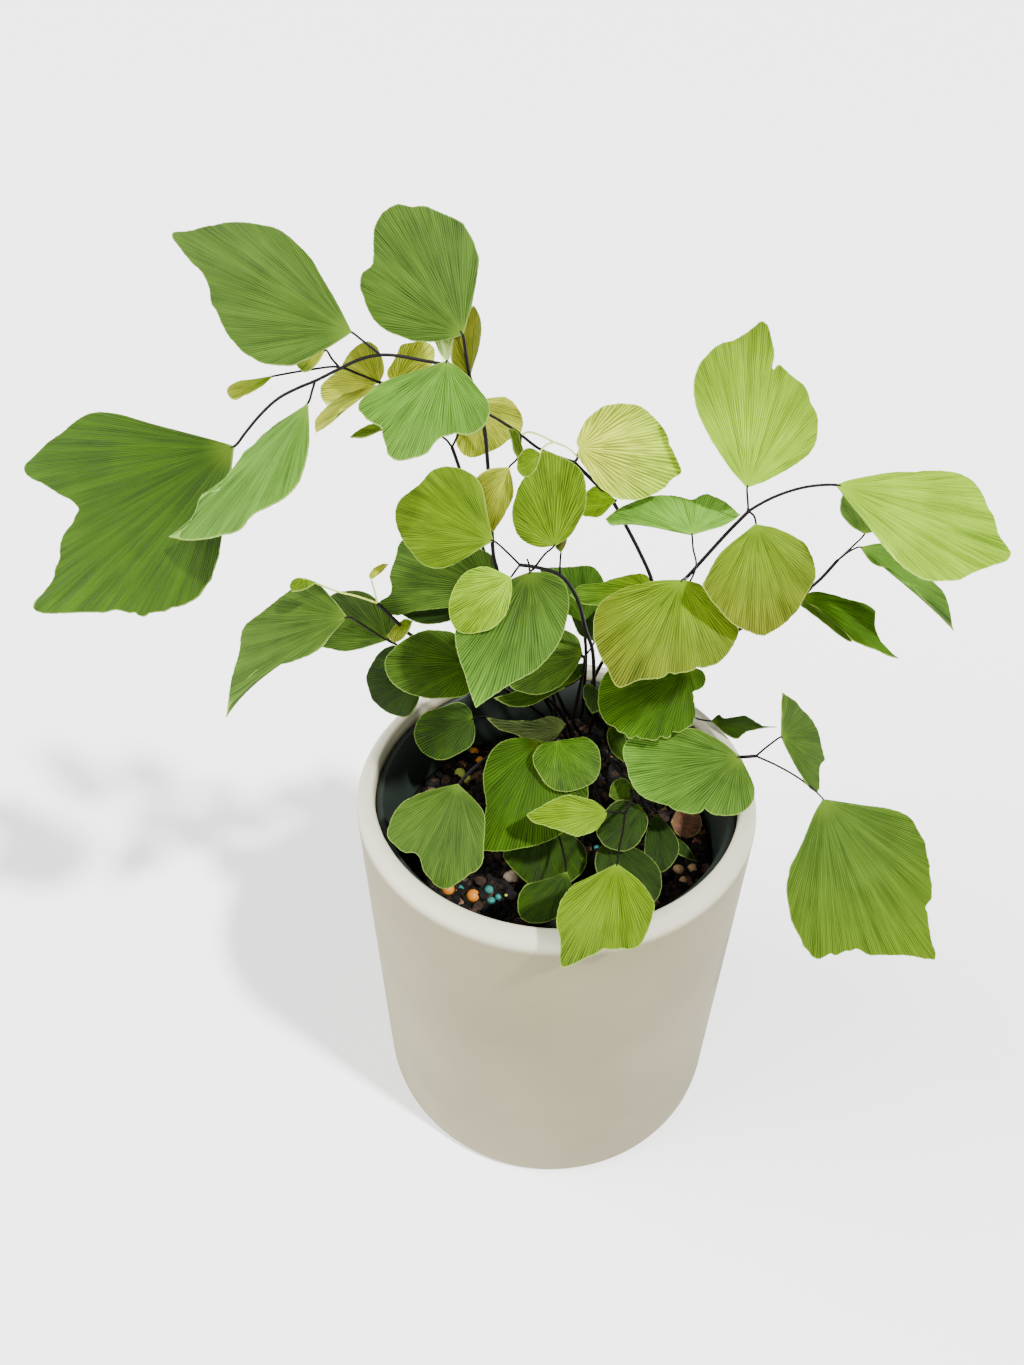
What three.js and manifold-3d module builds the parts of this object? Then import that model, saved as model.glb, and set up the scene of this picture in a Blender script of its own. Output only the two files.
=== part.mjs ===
import * as THREE from 'three';
import { mergeVertices } from 'three/addons/utils/BufferGeometryUtils.js';
import Module from 'manifold-3d';

const wasm = await Module();
wasm.setup();

// Driving dimensions, in millimetres, with the origin at the centre of the pot's foot
const potHeight = 140;
const potRimRadius = 65;
const potFootRadius = 64;
const potWall = 5.9;
const potFloor = 6;
const rimRounding = 5;
const footRounding = 4;
const fitGap = 0.3;
const potSides = 36;

const linerHeight = 129;
const linerLipWidth = 2.4;
const linerLipHeight = 4;
const linerWall = 1.2;
const linerFootRadius = 47;
const linerBase = potFloor + fitGap;
const linerTopRadius = potRimRadius - potWall - fitGap - linerLipWidth;
const drainHoleRadius = 4;
const drainHoleRing = 30;
const drainHoles = 6;

const soilEdgeHeight = 111;
const crownAt = [11, 41];
const crownRise = 14;
const crownSpread = 15;
const broadBumps = 1.1;
const fineBumps = 0.8;
const evenRim = 10;
const rootDepth = 9;
const soilRings = 7;
const soilSides = 28;

const grainSeed = 11;
const looseBeads = 10;
const looseChips = 12;
const strewRadius = 44;
const stemRoom = 6;
const beadRadius = 1.7;
const chipSize = [7, 3.4, 2];
const chipTilt = 0.5;
const barkTilt = 0.3;

const footRise = 3;
const holeGap = 0.7;
const holeSides = 6;
const holeAbove = 4;

const bladeHalf = 0.32;
const bladeSeat = 0.09;
const middleDroop = 0.45;
const waves = 2.5;
const bigRim = 30;
const strayVolume = 1;
const sliverSize = 0.02; // slivers thinner than this are closed up where stems and blades join
const fanStep = 0.012; // least turn in radians from one outline point to the next
const thickStem = 0.75;
const midStem = 0.55;
const fineStem = 0.45;
const stemSides = 4;

// The view that the fronds are laid out in: eye in millimetres, focal length and frame in pixels
const eye = new THREE.Vector3(-14.3, -221.9, 359.3);
const eyePitch = THREE.MathUtils.degToRad(38.96);
const focalPixels = 950;
const frameWidth = 1024;
const frameHeight = 1365;

const colours = {
  ceramic: '#d9d7cc',
  liner: '#8fa79c',
  soil: '#2b211a',
  deep: '#4f7a2b',
  fresh: '#86ab35',
  young: '#b0a552',
  dry: '#7d5137',
};

function finish(color, roughness) {
  return new THREE.MeshStandardMaterial({ color, roughness, metalness: 0 });
}

// Direction from the eye through a point of the frame
function sight(px, py) {
  const across = (px - frameWidth / 2) / focalPixels;
  const raise = (frameHeight / 2 - py) / focalPixels;
  return new THREE.Vector3(
    across,
    Math.cos(eyePitch) + raise * Math.sin(eyePitch),
    raise * Math.cos(eyePitch) - Math.sin(eyePitch),
  );
}

// The point seen at (px, py) that lies depth millimetres behind the pot's axis
function placed(px, py, depth) {
  const ray = sight(px, py);
  return eye.clone().addScaledVector(ray, (depth - eye.y) / ray.y);
}

function solidOf(geometry) {
  const bare = geometry.clone();
  bare.deleteAttribute('normal');
  bare.deleteAttribute('uv');
  const joined = mergeVertices(bare, 1e-4);
  return new wasm.Manifold(new wasm.Mesh({
    numProp: 3,
    vertProperties: new Float32Array(joined.attributes.position.array),
    triVerts: new Uint32Array(joined.index.array),
  }));
}

function geometryOf(solid) {
  const mesh = solid.getMesh();
  const geometry = new THREE.BufferGeometry();
  geometry.setAttribute('position', new THREE.BufferAttribute(mesh.vertProperties, 3));
  geometry.setIndex(new THREE.BufferAttribute(mesh.triVerts, 1));
  const faceted = geometry.toNonIndexed();
  faceted.computeVertexNormals();
  return faceted;
}

function turned(profile, sides) {
  const points = profile.map(([radius, height]) => new THREE.Vector2(radius, height));
  return new THREE.LatheGeometry(points, sides).rotateX(Math.PI / 2);
}

function roundedCorner(radius, height, rounding, from, steps) {
  return Array.from({ length: steps + 1 }, (_, i) => {
    const angle = from + (i / steps) * (Math.PI / 2);
    return [radius + rounding * Math.cos(angle), height + rounding * Math.sin(angle)];
  });
}

// The ceramic cover pot: nearly straight wall, thick rounded rim, softly rounded foot
function coverPot() {
  const innerRadius = potRimRadius - potWall;
  const lipRounding = potWall - rimRounding;
  const profile = [
    [0, 0],
    ...roundedCorner(potFootRadius - footRounding, footRounding, footRounding, -Math.PI / 2, 3),
    ...roundedCorner(potRimRadius - rimRounding, potHeight - rimRounding, rimRounding, 0, 4),
    ...roundedCorner(innerRadius + lipRounding, potHeight - lipRounding, lipRounding, Math.PI / 2, 1),
    [innerRadius, potFloor],
    [0, potFloor],
  ];
  return turned(profile, potSides);
}

// The thin plastic grow pot that stands in it, with a lip and drain holes
function growPot() {
  const top = linerBase + linerHeight;
  const outer = linerTopRadius + linerLipWidth;
  const profile = [
    [0, linerBase],
    [linerFootRadius, linerBase],
    [linerTopRadius + linerWall, top - linerLipHeight],
    [outer, top - linerLipHeight],
    [outer, top],
    [linerTopRadius, top],
    [linerFootRadius - linerWall, linerBase + linerWall],
    [0, linerBase + linerWall],
  ];
  let pot = solidOf(turned(profile, potSides));
  for (let i = 0; i < drainHoles; i += 1) {
    const angle = (i / drainHoles) * Math.PI * 2;
    const drill = new THREE.CylinderGeometry(drainHoleRadius, drainHoleRadius, linerWall * 6, 8);
    drill.rotateX(Math.PI / 2);
    drill.translate(drainHoleRing * Math.cos(angle), drainHoleRing * Math.sin(angle), linerBase);
    pot = pot.subtract(solidOf(drill));
  }
  return pot;
}

// Height of the potting mix: a low bumpy bed that rises to the crown of the plant
function soilHeight(x, y) {
  const crown = Math.exp(-((x - crownAt[0]) ** 2 + (y - crownAt[1]) ** 2) / (2 * crownSpread ** 2));
  const broad = broadBumps * Math.sin(x * 0.31 + 1.2) * Math.cos(y * 0.27);
  const fine = fineBumps * Math.sin(x * 0.13 - y * 0.41);
  const inset = linerTopRadius - Math.hypot(x, y);
  const edge = Math.min(1, Math.max(0, inset / evenRim));
  return soilEdgeHeight + (crownRise * crown + broad + fine) * edge;
}

// Radius of the potting mix, just clear of the grow pot's sloping wall
function soilRadius(height) {
  const share = (height - linerBase - linerWall) / (linerHeight - linerWall);
  const inner = linerFootRadius - linerWall;
  return inner + share * (linerTopRadius - inner) - fitGap;
}

function soilPlug() {
  const floor = linerBase + linerWall + fitGap;
  const edge = soilRadius(soilEdgeHeight);
  const profile = [[0, floor], [soilRadius(floor), floor]];
  for (let i = soilRings; i >= 0; i -= 1) {
    profile.push([(edge * i) / soilRings, soilEdgeHeight]);
  }
  const geometry = turned(profile, soilSides);
  const spots = geometry.attributes.position;
  for (let i = 0; i < spots.count; i += 1) {
    if (spots.getZ(i) > floor + 1) {
      spots.setZ(i, soilHeight(spots.getX(i), spots.getY(i)));
    }
  }
  return solidOf(geometry);
}

// Beads of plant food and a stone where they are seen: frame x, frame y, radius
const seenBeads = [
  [448, 892, 2.2], [473, 899, 2.2], [460, 891, 1.4], [489, 892, 1.5], [491, 903, 1.4], [511, 882, 2.6],
  [474, 755, 2], [484, 764, 1.6], [466, 778, 2.3], [678, 873, 2], [692, 871, 1.7],
];

// A strip of maroon bark where it is seen: frame x, frame y, size, turn in degrees
const seenBark = { at: [695, 838], size: [14, 3.4, 3], turn: 84 };

// A repeatable run of draws between 0 and 1
function draws(seed) {
  let state = seed;
  return () => {
    state = (state * 1664525 + 1013904223) % 4294967296;
    return state / 4294967296;
  };
}

// The point of the bed that is seen at (px, py)
function bedSpot(px, py) {
  const ray = sight(px, py);
  const spot = eye.clone().addScaledVector(ray, (soilEdgeHeight - eye.z) / ray.z);
  return [spot.x, spot.y];
}

function bead(x, y, radius) {
  return solidOf(new THREE.IcosahedronGeometry(radius, 0).translate(x, y, soilHeight(x, y)));
}

function chip(x, y, size, turn, tilt) {
  const piece = new THREE.BoxGeometry(...size);
  piece.rotateX(tilt);
  piece.rotateZ(turn);
  return solidOf(piece.translate(x, y, soilHeight(x, y)));
}

// Beads and bark chips that lie sunk in the bed, clear of the stems
function strewn(feet) {
  const draw = draws(grainSeed);
  const pieces = seenBeads.map(([px, py, radius]) => bead(...bedSpot(px, py), radius));
  const barkTurn = THREE.MathUtils.degToRad(seenBark.turn);
  pieces.push(chip(...bedSpot(...seenBark.at), seenBark.size, barkTurn, barkTilt));
  let laid = 0;
  while (laid < looseBeads + looseChips) {
    const reach = strewRadius * Math.sqrt(draw());
    const angle = draw() * Math.PI * 2;
    const spin = draw() * Math.PI;
    const scale = 0.75 + 0.5 * draw();
    const x = reach * Math.cos(angle);
    const y = reach * Math.sin(angle);
    if (feet.every((foot) => Math.hypot(x - foot[0], y - foot[1]) > stemRoom)) {
      const size = chipSize.map((side) => side * scale);
      const tilt = chipTilt * Math.cos(3 * spin);
      pieces.push(laid < looseBeads ? bead(x, y, beadRadius * scale) : chip(x, y, size, spin, tilt));
      laid += 1;
    }
  }
  return wasm.Manifold.union(pieces);
}

// A smooth route that is sampled at the points it is drawn through
class Route extends THREE.CatmullRomCurve3 {
  getPointAt(share) {
    return this.getPoint(share);
  }

  getTangentAt(share) {
    return this.getTangent(share);
  }
}

// A round stem along a smooth route
function stem(points, radius) {
  const route = new Route(points, false, 'centripetal');
  const section = new THREE.Shape();
  for (let i = 0; i < stemSides; i += 1) {
    const angle = (i / stemSides) * Math.PI * 2;
    const corner = [radius * Math.cos(angle), radius * Math.sin(angle)];
    if (i === 0) {
      section.moveTo(...corner);
    } else {
      section.lineTo(...corner);
    }
  }
  const steps = points.length - 1;
  return new THREE.ExtrudeGeometry(section, { steps, extrudePath: route, bevelEnabled: false });
}

function pairs(flat) {
  return Array.from({ length: flat.length / 2 }, (_, i) => flat.slice(2 * i, 2 * i + 2));
}

function triples(flat) {
  return Array.from({ length: flat.length / 3 }, (_, i) => placed(...flat.slice(3 * i, 3 * i + 3)));
}

// The way a blade's upper face looks: turn from straight at the viewer towards +X, then lift
function facing([turn, lift]) {
  const a = THREE.MathUtils.degToRad(turn);
  const b = THREE.MathUtils.degToRad(lift);
  return new THREE.Vector3(Math.sin(a) * Math.cos(b), -Math.cos(a) * Math.cos(b), Math.sin(b));
}

// Turns the outline's points about the base, as little as will do, so that each lies past the one before
function fanned(base, outline) {
  const reach = outline.map(([x, y]) => Math.hypot(x - base[0], y - base[1]));
  const angles = outline.map(([x, y]) => Math.atan2(y - base[1], x - base[0]));
  const round = Math.PI * 2;
  for (let i = 1; i < angles.length; i += 1) {
    angles[i] -= Math.round((angles[i] - angles[i - 1]) / round) * round;
  }
  const sense = Math.sign(angles[angles.length - 1] - angles[0]);
  const groups = [];
  angles.forEach((angle, i) => {
    groups.push({ angle: sense * angle - i * fanStep, weight: reach[i] ** 2, count: 1 });
    while (groups.length > 1 && groups.at(-2).angle > groups.at(-1).angle) {
      const last = groups.pop();
      const kept = groups.at(-1);
      const weight = kept.weight + last.weight;
      kept.angle = (kept.angle * kept.weight + last.angle * last.weight) / weight;
      kept.weight = weight;
      kept.count += last.count;
    }
  });
  const settled = groups.flatMap(({ angle, count }) => Array(count).fill(angle));
  const turns = settled.map((angle, i) => angle + i * fanStep);
  const longest = Math.max(...reach);
  return turns.map((turn, i) => ({
    across: reach[i] * Math.cos(sense * turn),
    down: reach[i] * Math.sin(sense * turn),
    far: reach[i] / longest,
    share: (turn - turns[0]) / (turns.at(-1) - turns[0]),
  }));
}

// A fan-shaped leaflet spread from its base: rim points are seen in the frame, and the blade droops
// and waves off its plane along the line of sight, so that its outline stays as seen
function leaflet({ base, depth, face, droop = 2, wave = 0.5, rim }) {
  const rings = rim.length > bigRim ? 2 : 1;
  const normal = facing(face);
  const root = placed(...base, depth);
  const outline = fanned(base, pairs(rim));
  const spot = (i, ring) => {
    const { across, down, far, share } = outline[i];
    const reach = ring / rings;
    const px = base[0] + across * reach;
    const py = base[1] + down * reach;
    const out = far * reach;
    const side = (2 * share - 1) ** 2;
    const fall = droop * out * out * (middleDroop + (1 - middleDroop) * side);
    const off = wave * out * Math.sin(share * waves * Math.PI * 2) - fall;
    const ray = sight(px, py);
    const along = (normal.dot(root) + off - normal.dot(eye)) / normal.dot(ray);
    return eye.clone().addScaledVector(ray, along);
  };
  const columns = outline.length;
  const layer = [root];
  for (let ring = 1; ring <= rings; ring += 1) {
    for (let i = 0; i < columns; i += 1) {
      layer.push(spot(i, ring));
    }
  }
  const upper = layer.map((point) => point.clone().addScaledVector(normal, bladeHalf));
  const lower = layer.map((point) => point.clone().addScaledVector(normal, -bladeHalf));
  const at = (i, ring) => (ring === 0 ? 0 : 1 + (ring - 1) * columns + i);
  const faces = [];
  for (let i = 0; i < columns - 1; i += 1) {
    faces.push([at(i, 0), at(i, 1), at(i + 1, 1)]);
    for (let ring = 1; ring < rings; ring += 1) {
      faces.push([at(i, ring), at(i, ring + 1), at(i + 1, ring + 1)]);
      faces.push([at(i, ring), at(i + 1, ring + 1), at(i + 1, ring)]);
    }
  }
  const edge = [0];
  for (let ring = 1; ring <= rings; ring += 1) {
    edge.push(at(0, ring));
  }
  for (let i = 1; i < columns; i += 1) {
    edge.push(at(i, rings));
  }
  for (let ring = rings - 1; ring > 0; ring -= 1) {
    edge.push(at(columns - 1, ring));
  }
  const count = layer.length;
  const index = [];
  faces.forEach(([a, b, c]) => index.push(a, b, c, a + count, c + count, b + count));
  edge.forEach((a, i) => {
    const b = edge[(i + 1) % edge.length];
    index.push(a, a + count, b, b, a + count, b + count);
  });
  let spread = 0;
  for (let i = 0; i < columns - 1; i += 1) {
    const here = new THREE.Vector3().subVectors(layer[at(i, rings)], root);
    const next = new THREE.Vector3().subVectors(layer[at(i + 1, rings)], root);
    spread += here.cross(next).dot(normal);
  }
  if (spread < 0) {
    for (let i = 0; i < index.length; i += 3) {
      [index[i + 1], index[i + 2]] = [index[i + 2], index[i + 1]];
    }
  }
  const geometry = new THREE.BufferGeometry().setFromPoints([...upper, ...lower]);
  geometry.setIndex(index);
  return geometry;
}

// Where the leaflet's stalk ends, a little way inside the blade
function leafletSeat({ base, depth, face, rim }) {
  const normal = facing(face);
  const root = placed(...base, depth);
  const outline = pairs(rim);
  const middle = outline[Math.floor(outline.length / 2)];
  const px = base[0] + (middle[0] - base[0]) * bladeSeat;
  const py = base[1] + (middle[1] - base[1]) * bladeSeat;
  const ray = sight(px, py);
  return eye.clone().addScaledVector(ray, (normal.dot(root) - normal.dot(eye)) / normal.dot(ray));
}

// Everything below is read off the plant: stems as frame x, frame y, depth, and leaflets by base and rim
const fronds = {};

fronds.frond_tall = {
  colour: 'fresh',
  foot: [7, 44],
  stipe: [565, 711, 40, 556, 691, 37, 536, 655, 34, 510, 605, 31, 494, 558, 29, 492, 530, 28,
    488, 468, 26, 484, 427, 23, 477, 400, 21, 470, 378, 19],
  stems: {
    upper: [midStem, 471, 384, 19, 470, 377, 19, 466, 355, 18, 463, 336, 17],
    rachis: [midStem, 471, 382, 19, 462, 371, 18, 450, 366, 17, 437, 363, 16, 420, 360, 15, 399, 356, 14,
      381, 355, 13, 361, 359, 12, 339, 369, 11, 315, 381, 10, 298, 388, 9, 279, 398, 8, 263, 412, 7,
      246, 432, 6, 236, 445, 5],
    highLeft: [fineStem, 382, 356, 13, 368, 345, 14, 353, 333, 15],
    droopLeft: [fineStem, 315, 381, 10, 312, 391, 4, 308, 403, -3],
  },
  leaflets: {
    crest: { on: 'upper', base: [463, 335], depth: 17, face: [-12, 34], droop: 3,
      rim: [449, 338, 429, 341, 407, 339, 390, 333, 375, 322, 367, 309, 361, 279, 372, 265, 375, 226,
        382, 212, 396, 204, 426, 206, 449, 216, 463, 223, 474, 242, 479, 260, 477, 279, 473, 304, 467, 324] },
    behindCrest: { on: 'upper', seat: [470, 376, 19], base: [470, 376], depth: 19.5, face: [42, 8], droop: 1,
      rim: [473, 364, 479, 347, 481, 331, 479, 315, 474, 305, 466, 310, 458, 325, 452, 345, 452, 362] },
    highLeft: { on: 'highLeft', base: [352, 332], depth: 15, face: [-18, 44], droop: 4,
      rim: [327, 289, 308, 258, 288, 236, 265, 226, 239, 222, 196, 230, 172, 233, 186, 256, 201, 271,
        209, 286, 212, 306, 229, 339, 242, 352, 259, 362, 292, 364, 318, 356] },
    farLeft: { on: 'rachis', base: [234, 446], depth: 5, face: [-24, 48], droop: 4, wave: 0.8,
      rim: [206, 441, 166, 427, 133, 415, 99, 412, 83, 417, 63, 434, 25, 465, 50, 487, 78, 508, 65, 533,
        55, 578, 40, 598, 33, 611, 73, 612, 143, 614, 166, 611, 192, 601, 211, 578, 222, 531, 229, 478] },
    droopLeft: { on: 'droopLeft', base: [308, 404], depth: -4, face: [-60, 53], droop: 1.5,
      rim: [285, 419, 262, 437, 239, 465, 220, 490, 202, 495, 196, 515, 186, 530, 169, 537, 216, 539,
        239, 533, 255, 517, 285, 500, 303, 473, 310, 442] },
    centreTop: { on: 'rachis', seat: [448, 366, 17], base: [447, 361], depth: 15, face: [6, 58],
      droop: 3,
      rim: [422, 366, 390, 376, 377, 385, 359, 404, 362, 414, 380, 425, 383, 441, 387, 455, 401, 461,
        417, 456, 429, 447, 437, 440, 457, 432, 469, 436, 484, 426, 490, 415, 484, 399, 469, 376] },
    funnel: { on: 'rachis', seat: [447, 365, 16.5], base: [446, 364], depth: 17, face: [-10, 60],
      droop: 1, rim: [441, 356, 436, 345, 432, 330, 446, 322, 456, 330, 452, 345, 450, 356] },
  },
};

fronds.frond_fork = {
  colour: 'young',
  foot: [4, 40],
  stipe: [556, 718, 40, 553, 696, 42, 533, 650, 44, 503, 595, 44, 484, 551, 43, 472, 510, 39, 459, 467, 33,
    452, 447, 30],
  stems: {
    leftArm: [fineStem, 452, 447, 30, 444, 438, 29, 418, 428, 28, 384, 429, 26],
    rightArm: [fineStem, 452, 447, 30, 456, 439, 31, 463, 420, 33, 470, 404, 35],
  },
  leaflets: {
    sliver: { on: 'leftArm', base: [382, 430], depth: 25, face: [0, 78], droop: 0.5, wave: 0,
      rim: [380, 426, 359, 430, 350, 437, 361, 438] },
    tan: { on: 'rightArm', base: [472, 402], depth: 35, face: [8, 14], droop: 1,
      rim: [489, 398, 510, 399, 519, 410, 523, 422, 520, 434, 510, 439, 498, 448, 486, 453, 475, 457,
        464, 455, 456, 440, 461, 420] },
  },
};

fronds.frond_arching = {
  colour: 'young',
  foot: [20, 47],
  stipe: [596, 712, 40, 607, 690, 39, 625, 660, 37, 648, 625, 35, 654, 600, 34, 652, 581, 33, 640, 553, 32,
    625, 524, 31, 611, 499, 31, 594, 482, 30, 581, 469, 30, 574, 462, 30],
  stems: {
    rachis: [midStem, 574, 462, 30, 553, 455, 29, 538, 448, 28, 521, 435, 27, 510, 427, 27,
      490, 415, 28, 462, 403, 29, 430, 394, 30, 400, 387, 31, 378, 382, 31],
    tip: [fineStem, 378, 382, 31, 361, 375, 31, 339, 367, 30, 308, 370, 29, 274, 376, 28],
    twig: [fineStem, 340, 368, 30, 332, 359, 30, 326, 350, 30],
    pale: [fineStem, 521, 435, 27, 528, 432, 27, 537, 434, 26, 554, 442, 26, 568, 448, 27, 578, 457, 27],
    paleFork: [fineStem, 554, 442, 26, 548, 444, 24, 543, 448, 21, 540, 453, 18],
    hang: [fineStem, 521, 435, 27, 520, 449, 25, 517, 459, 24, 510, 466, 22],
    node: [midStem, 574, 462, 30, 577, 459, 28, 579, 452, 27],
  },
  leaflets: {
    tip: { on: 'tip', base: [273, 376], depth: 28, face: [-10, 62], droop: 0.4, wave: 0,
      rim: [262, 386, 249, 393, 230, 398, 227, 391, 236, 382, 256, 380] },
    twig: { on: 'twig', base: [325, 351], depth: 30, face: [-20, 50], droop: 1, wave: 0,
      rim: [316, 365, 304, 372, 297, 365, 299, 352, 312, 345] },
    olive: { on: 'rachis', base: [379, 383], depth: 31, face: [-16, 42], droop: 1,
      rim: [360, 385, 340, 396, 326, 405, 321, 397, 321, 386, 330, 377, 341, 368, 347, 357, 356, 347,
        367, 342, 376, 346, 381, 356, 384, 372] },
    lobe: { on: 'rachis', seat: [380, 384, 30], base: [379, 385], depth: 29, face: [-42, 20], droop: 1,
      rim: [361, 386, 345, 392, 326, 407, 315, 423, 316, 433, 330, 424, 345, 405, 363, 397, 373, 391] },
    behindTop: { on: 'rachis', seat: [396, 386, 31], base: [395, 383], depth: 32, face: [-4, 36], droop: 1,
      rim: [388, 377, 396, 357, 401, 346, 412, 342, 426, 342, 433, 347, 434, 360, 425, 372] },
    round: { on: 'node', base: [579, 448], depth: 27, face: [8, 42], droop: 2.5,
      rim: [577, 436, 582, 428, 589, 418, 604, 406, 623, 403, 638, 405, 653, 419, 666, 439, 670, 452,
        681, 470, 671, 478, 656, 492, 638, 500, 621, 500, 604, 491, 589, 473, 580, 456] },
    folded: { on: 'hang', base: [509, 467], depth: 21.5, face: [5, 8], droop: 1,
      rim: [487, 470, 476, 478, 470, 500, 489, 526, 493, 532, 507, 510, 513, 494, 513, 483] },
    strap: { on: 'rachis', seat: [510, 427, 27], base: [512, 428], depth: 25, face: [50, 20], droop: 0.5,
      wave: 0, rim: [508, 430, 512, 441, 514, 451, 518, 458, 523, 451, 520, 440, 519, 434] },
    bud: { on: 'paleFork', base: [541, 453], depth: 18.5, face: [-30, 38], droop: 1,
      rim: [529, 448, 521, 453, 517, 462, 518, 471, 525, 477, 533, 473, 538, 464] },
    sideLow: { on: 'stipe', seat: [614, 503, 31], base: [616, 500], depth: 28, face: [-14, 46], droop: 1,
      rim: [606, 492, 597, 486, 587, 492, 580, 506, 581, 513, 591, 517, 600, 516, 610, 507] },
    glancing: { on: 'stipe', seat: [653, 592, 33.5], base: [651, 590], depth: 31, face: [-10, 76], droop: 1,
      rim: [649, 578, 624, 576, 601, 583, 578, 587, 570, 595, 578, 602, 601, 605, 625, 604] },
  },
};

fronds.frond_right = {
  colour: 'fresh',
  foot: [17, 43],
  stipe: [588, 712, 41, 590, 690, 38, 600, 666, 34, 618, 640, 30, 650, 610, 26, 684, 580, 21, 708, 554, 18,
    729, 531, 16, 748, 512, 15],
  stems: {
    up: [fineStem, 747, 514, 15, 748, 508, 15, 747, 488, 15],
    out: [midStem, 747, 512, 15, 762, 503, 14, 779, 495, 12, 806, 487, 10, 836, 485, 8],
    down: [fineStem, 748, 511, 15, 754, 516, 14, 756, 525, 13],
    nearStalk: [fineStem, 684, 580, 21, 687, 578, 16, 682, 580, 10],
    paleStalk: [fineStem, 650, 610, 26, 672, 598, 23.5, 688, 584, 21, 696, 566, 17, 693, 548, 12,
      692, 535, 9],
  },
  leaflets: {
    high: { on: 'up', base: [747, 488], depth: 15, face: [8, 34], droop: 3,
      rim: [738, 478, 720, 454, 702, 421, 695, 398, 694, 380, 701, 362, 720, 344, 740, 337, 763, 322,
        773, 340, 775, 359, 772, 369, 794, 377, 806, 389, 817, 415, 818, 427, 814, 448, 797, 466,
        773, 479, 755, 486] },
    far: { on: 'out', base: [836, 485], depth: 8, face: [20, 56], droop: 3,
      rim: [856, 507, 874, 534, 891, 554, 912, 572, 936, 581, 960, 580, 1007, 560, 1001, 541, 986, 507,
        965, 479, 945, 472, 924, 471, 885, 473, 856, 478] },
    under: { on: 'down', base: [755, 524], depth: 13, face: [4, 46], droop: 3,
      rim: [735, 537, 717, 557, 702, 584, 714, 605, 732, 623, 749, 631, 764, 636, 779, 628, 797, 614,
        809, 596, 816, 575, 814, 560, 806, 543, 785, 531] },
    olive: { on: 'nearStalk', base: [681, 580], depth: 10, face: [-2, 58], droop: 4,
      rim: [662, 580, 639, 582, 616, 591, 601, 602, 594, 618, 593, 631, 596, 648, 605, 664, 619, 687,
        643, 680, 674, 674, 693, 671, 714, 665, 727, 656, 739, 629, 731, 620, 708, 597, 701, 584] },
    shelf: { on: 'paleStalk', base: [692, 535], depth: 9, face: [4, 82], droop: 2,
      rim: [678, 528, 652, 522, 631, 521, 609, 524, 605, 519, 619, 509, 649, 497, 678, 497, 692, 500,
        705, 494, 717, 498, 741, 515, 726, 525, 708, 530] },
  },
};

fronds.frond_right_back = {
  colour: 'deep',
  foot: [25, 46],
  stipe: [614, 712, 45, 640, 690, 44, 685, 662, 41, 735, 632, 39, 780, 606, 38, 815, 584, 37, 838, 560, 36],
  stems: {
    end: [fineStem, 836, 562, 36, 852, 547, 36, 864, 535, 36],
    low: [fineStem, 815, 584, 37, 808, 592, 36, 803, 596, 35],
    drop: [fineStem, 838, 560, 36, 850, 551, 34, 860, 547, 32],
  },
  leaflets: {
    behind: { on: 'end', base: [865, 534], depth: 36, face: [24, 50], droop: 1.5,
      rim: [850, 525, 841, 513, 843, 494, 862, 478, 890, 488, 902, 505, 893, 524] },
    tongue: { on: 'drop', base: [860, 547], depth: 32, face: [14, 66], droop: 2.5,
      rim: [871, 562, 903, 574, 918, 593, 954, 631, 942, 591, 925, 575, 905, 560, 883, 544] },
    hook: { on: 'low', base: [803, 596], depth: 35, face: [10, 70], droop: 3,
      rim: [812, 608, 826, 617, 850, 637, 874, 651, 899, 659, 888, 645, 877, 628, 874, 609, 859, 600,
        826, 593] },
  },
};

fronds.frond_low_right = {
  colour: 'fresh',
  foot: [24, 38],
  stipe: [612, 732, 35, 635, 740, 28, 665, 748, 18, 700, 755, 8, 739, 757, -2, 756, 756, -5],
  stems: {
    up: [fineStem, 756, 756, -5, 768, 746, -6, 781, 737, -7],
    down: [fineStem, 756, 756, -5, 778, 766, -8, 803, 781, -10, 823, 799, -12],
  },
  leaflets: {
    near: { on: 'stipe', seat: [739, 757, -2], base: [739, 757], depth: -4, face: [-4, 62], droop: 3,
      rim: [754, 784, 755, 800, 746, 811, 732, 815, 711, 813, 692, 814, 676, 809, 641, 795, 629, 779,
        624, 757, 628, 738, 660, 728, 697, 730, 722, 741] },
    side: { on: 'up', base: [781, 737], depth: -7, face: [38, 30], droop: 1.5,
      rim: [782, 691, 795, 700, 807, 713, 817, 727, 824, 761, 819, 786, 816, 793, 807, 786, 797, 769,
        788, 753] },
    low: { on: 'down', base: [823, 799], depth: -12, face: [6, 50], droop: 4, wave: 0.8,
      rim: [803, 843, 790, 866, 787, 898, 791, 922, 807, 950, 833, 953, 857, 948, 891, 955, 935, 959,
        929, 923, 932, 898, 927, 854, 924, 840, 910, 818, 870, 806, 841, 804] },
  },
};

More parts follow.
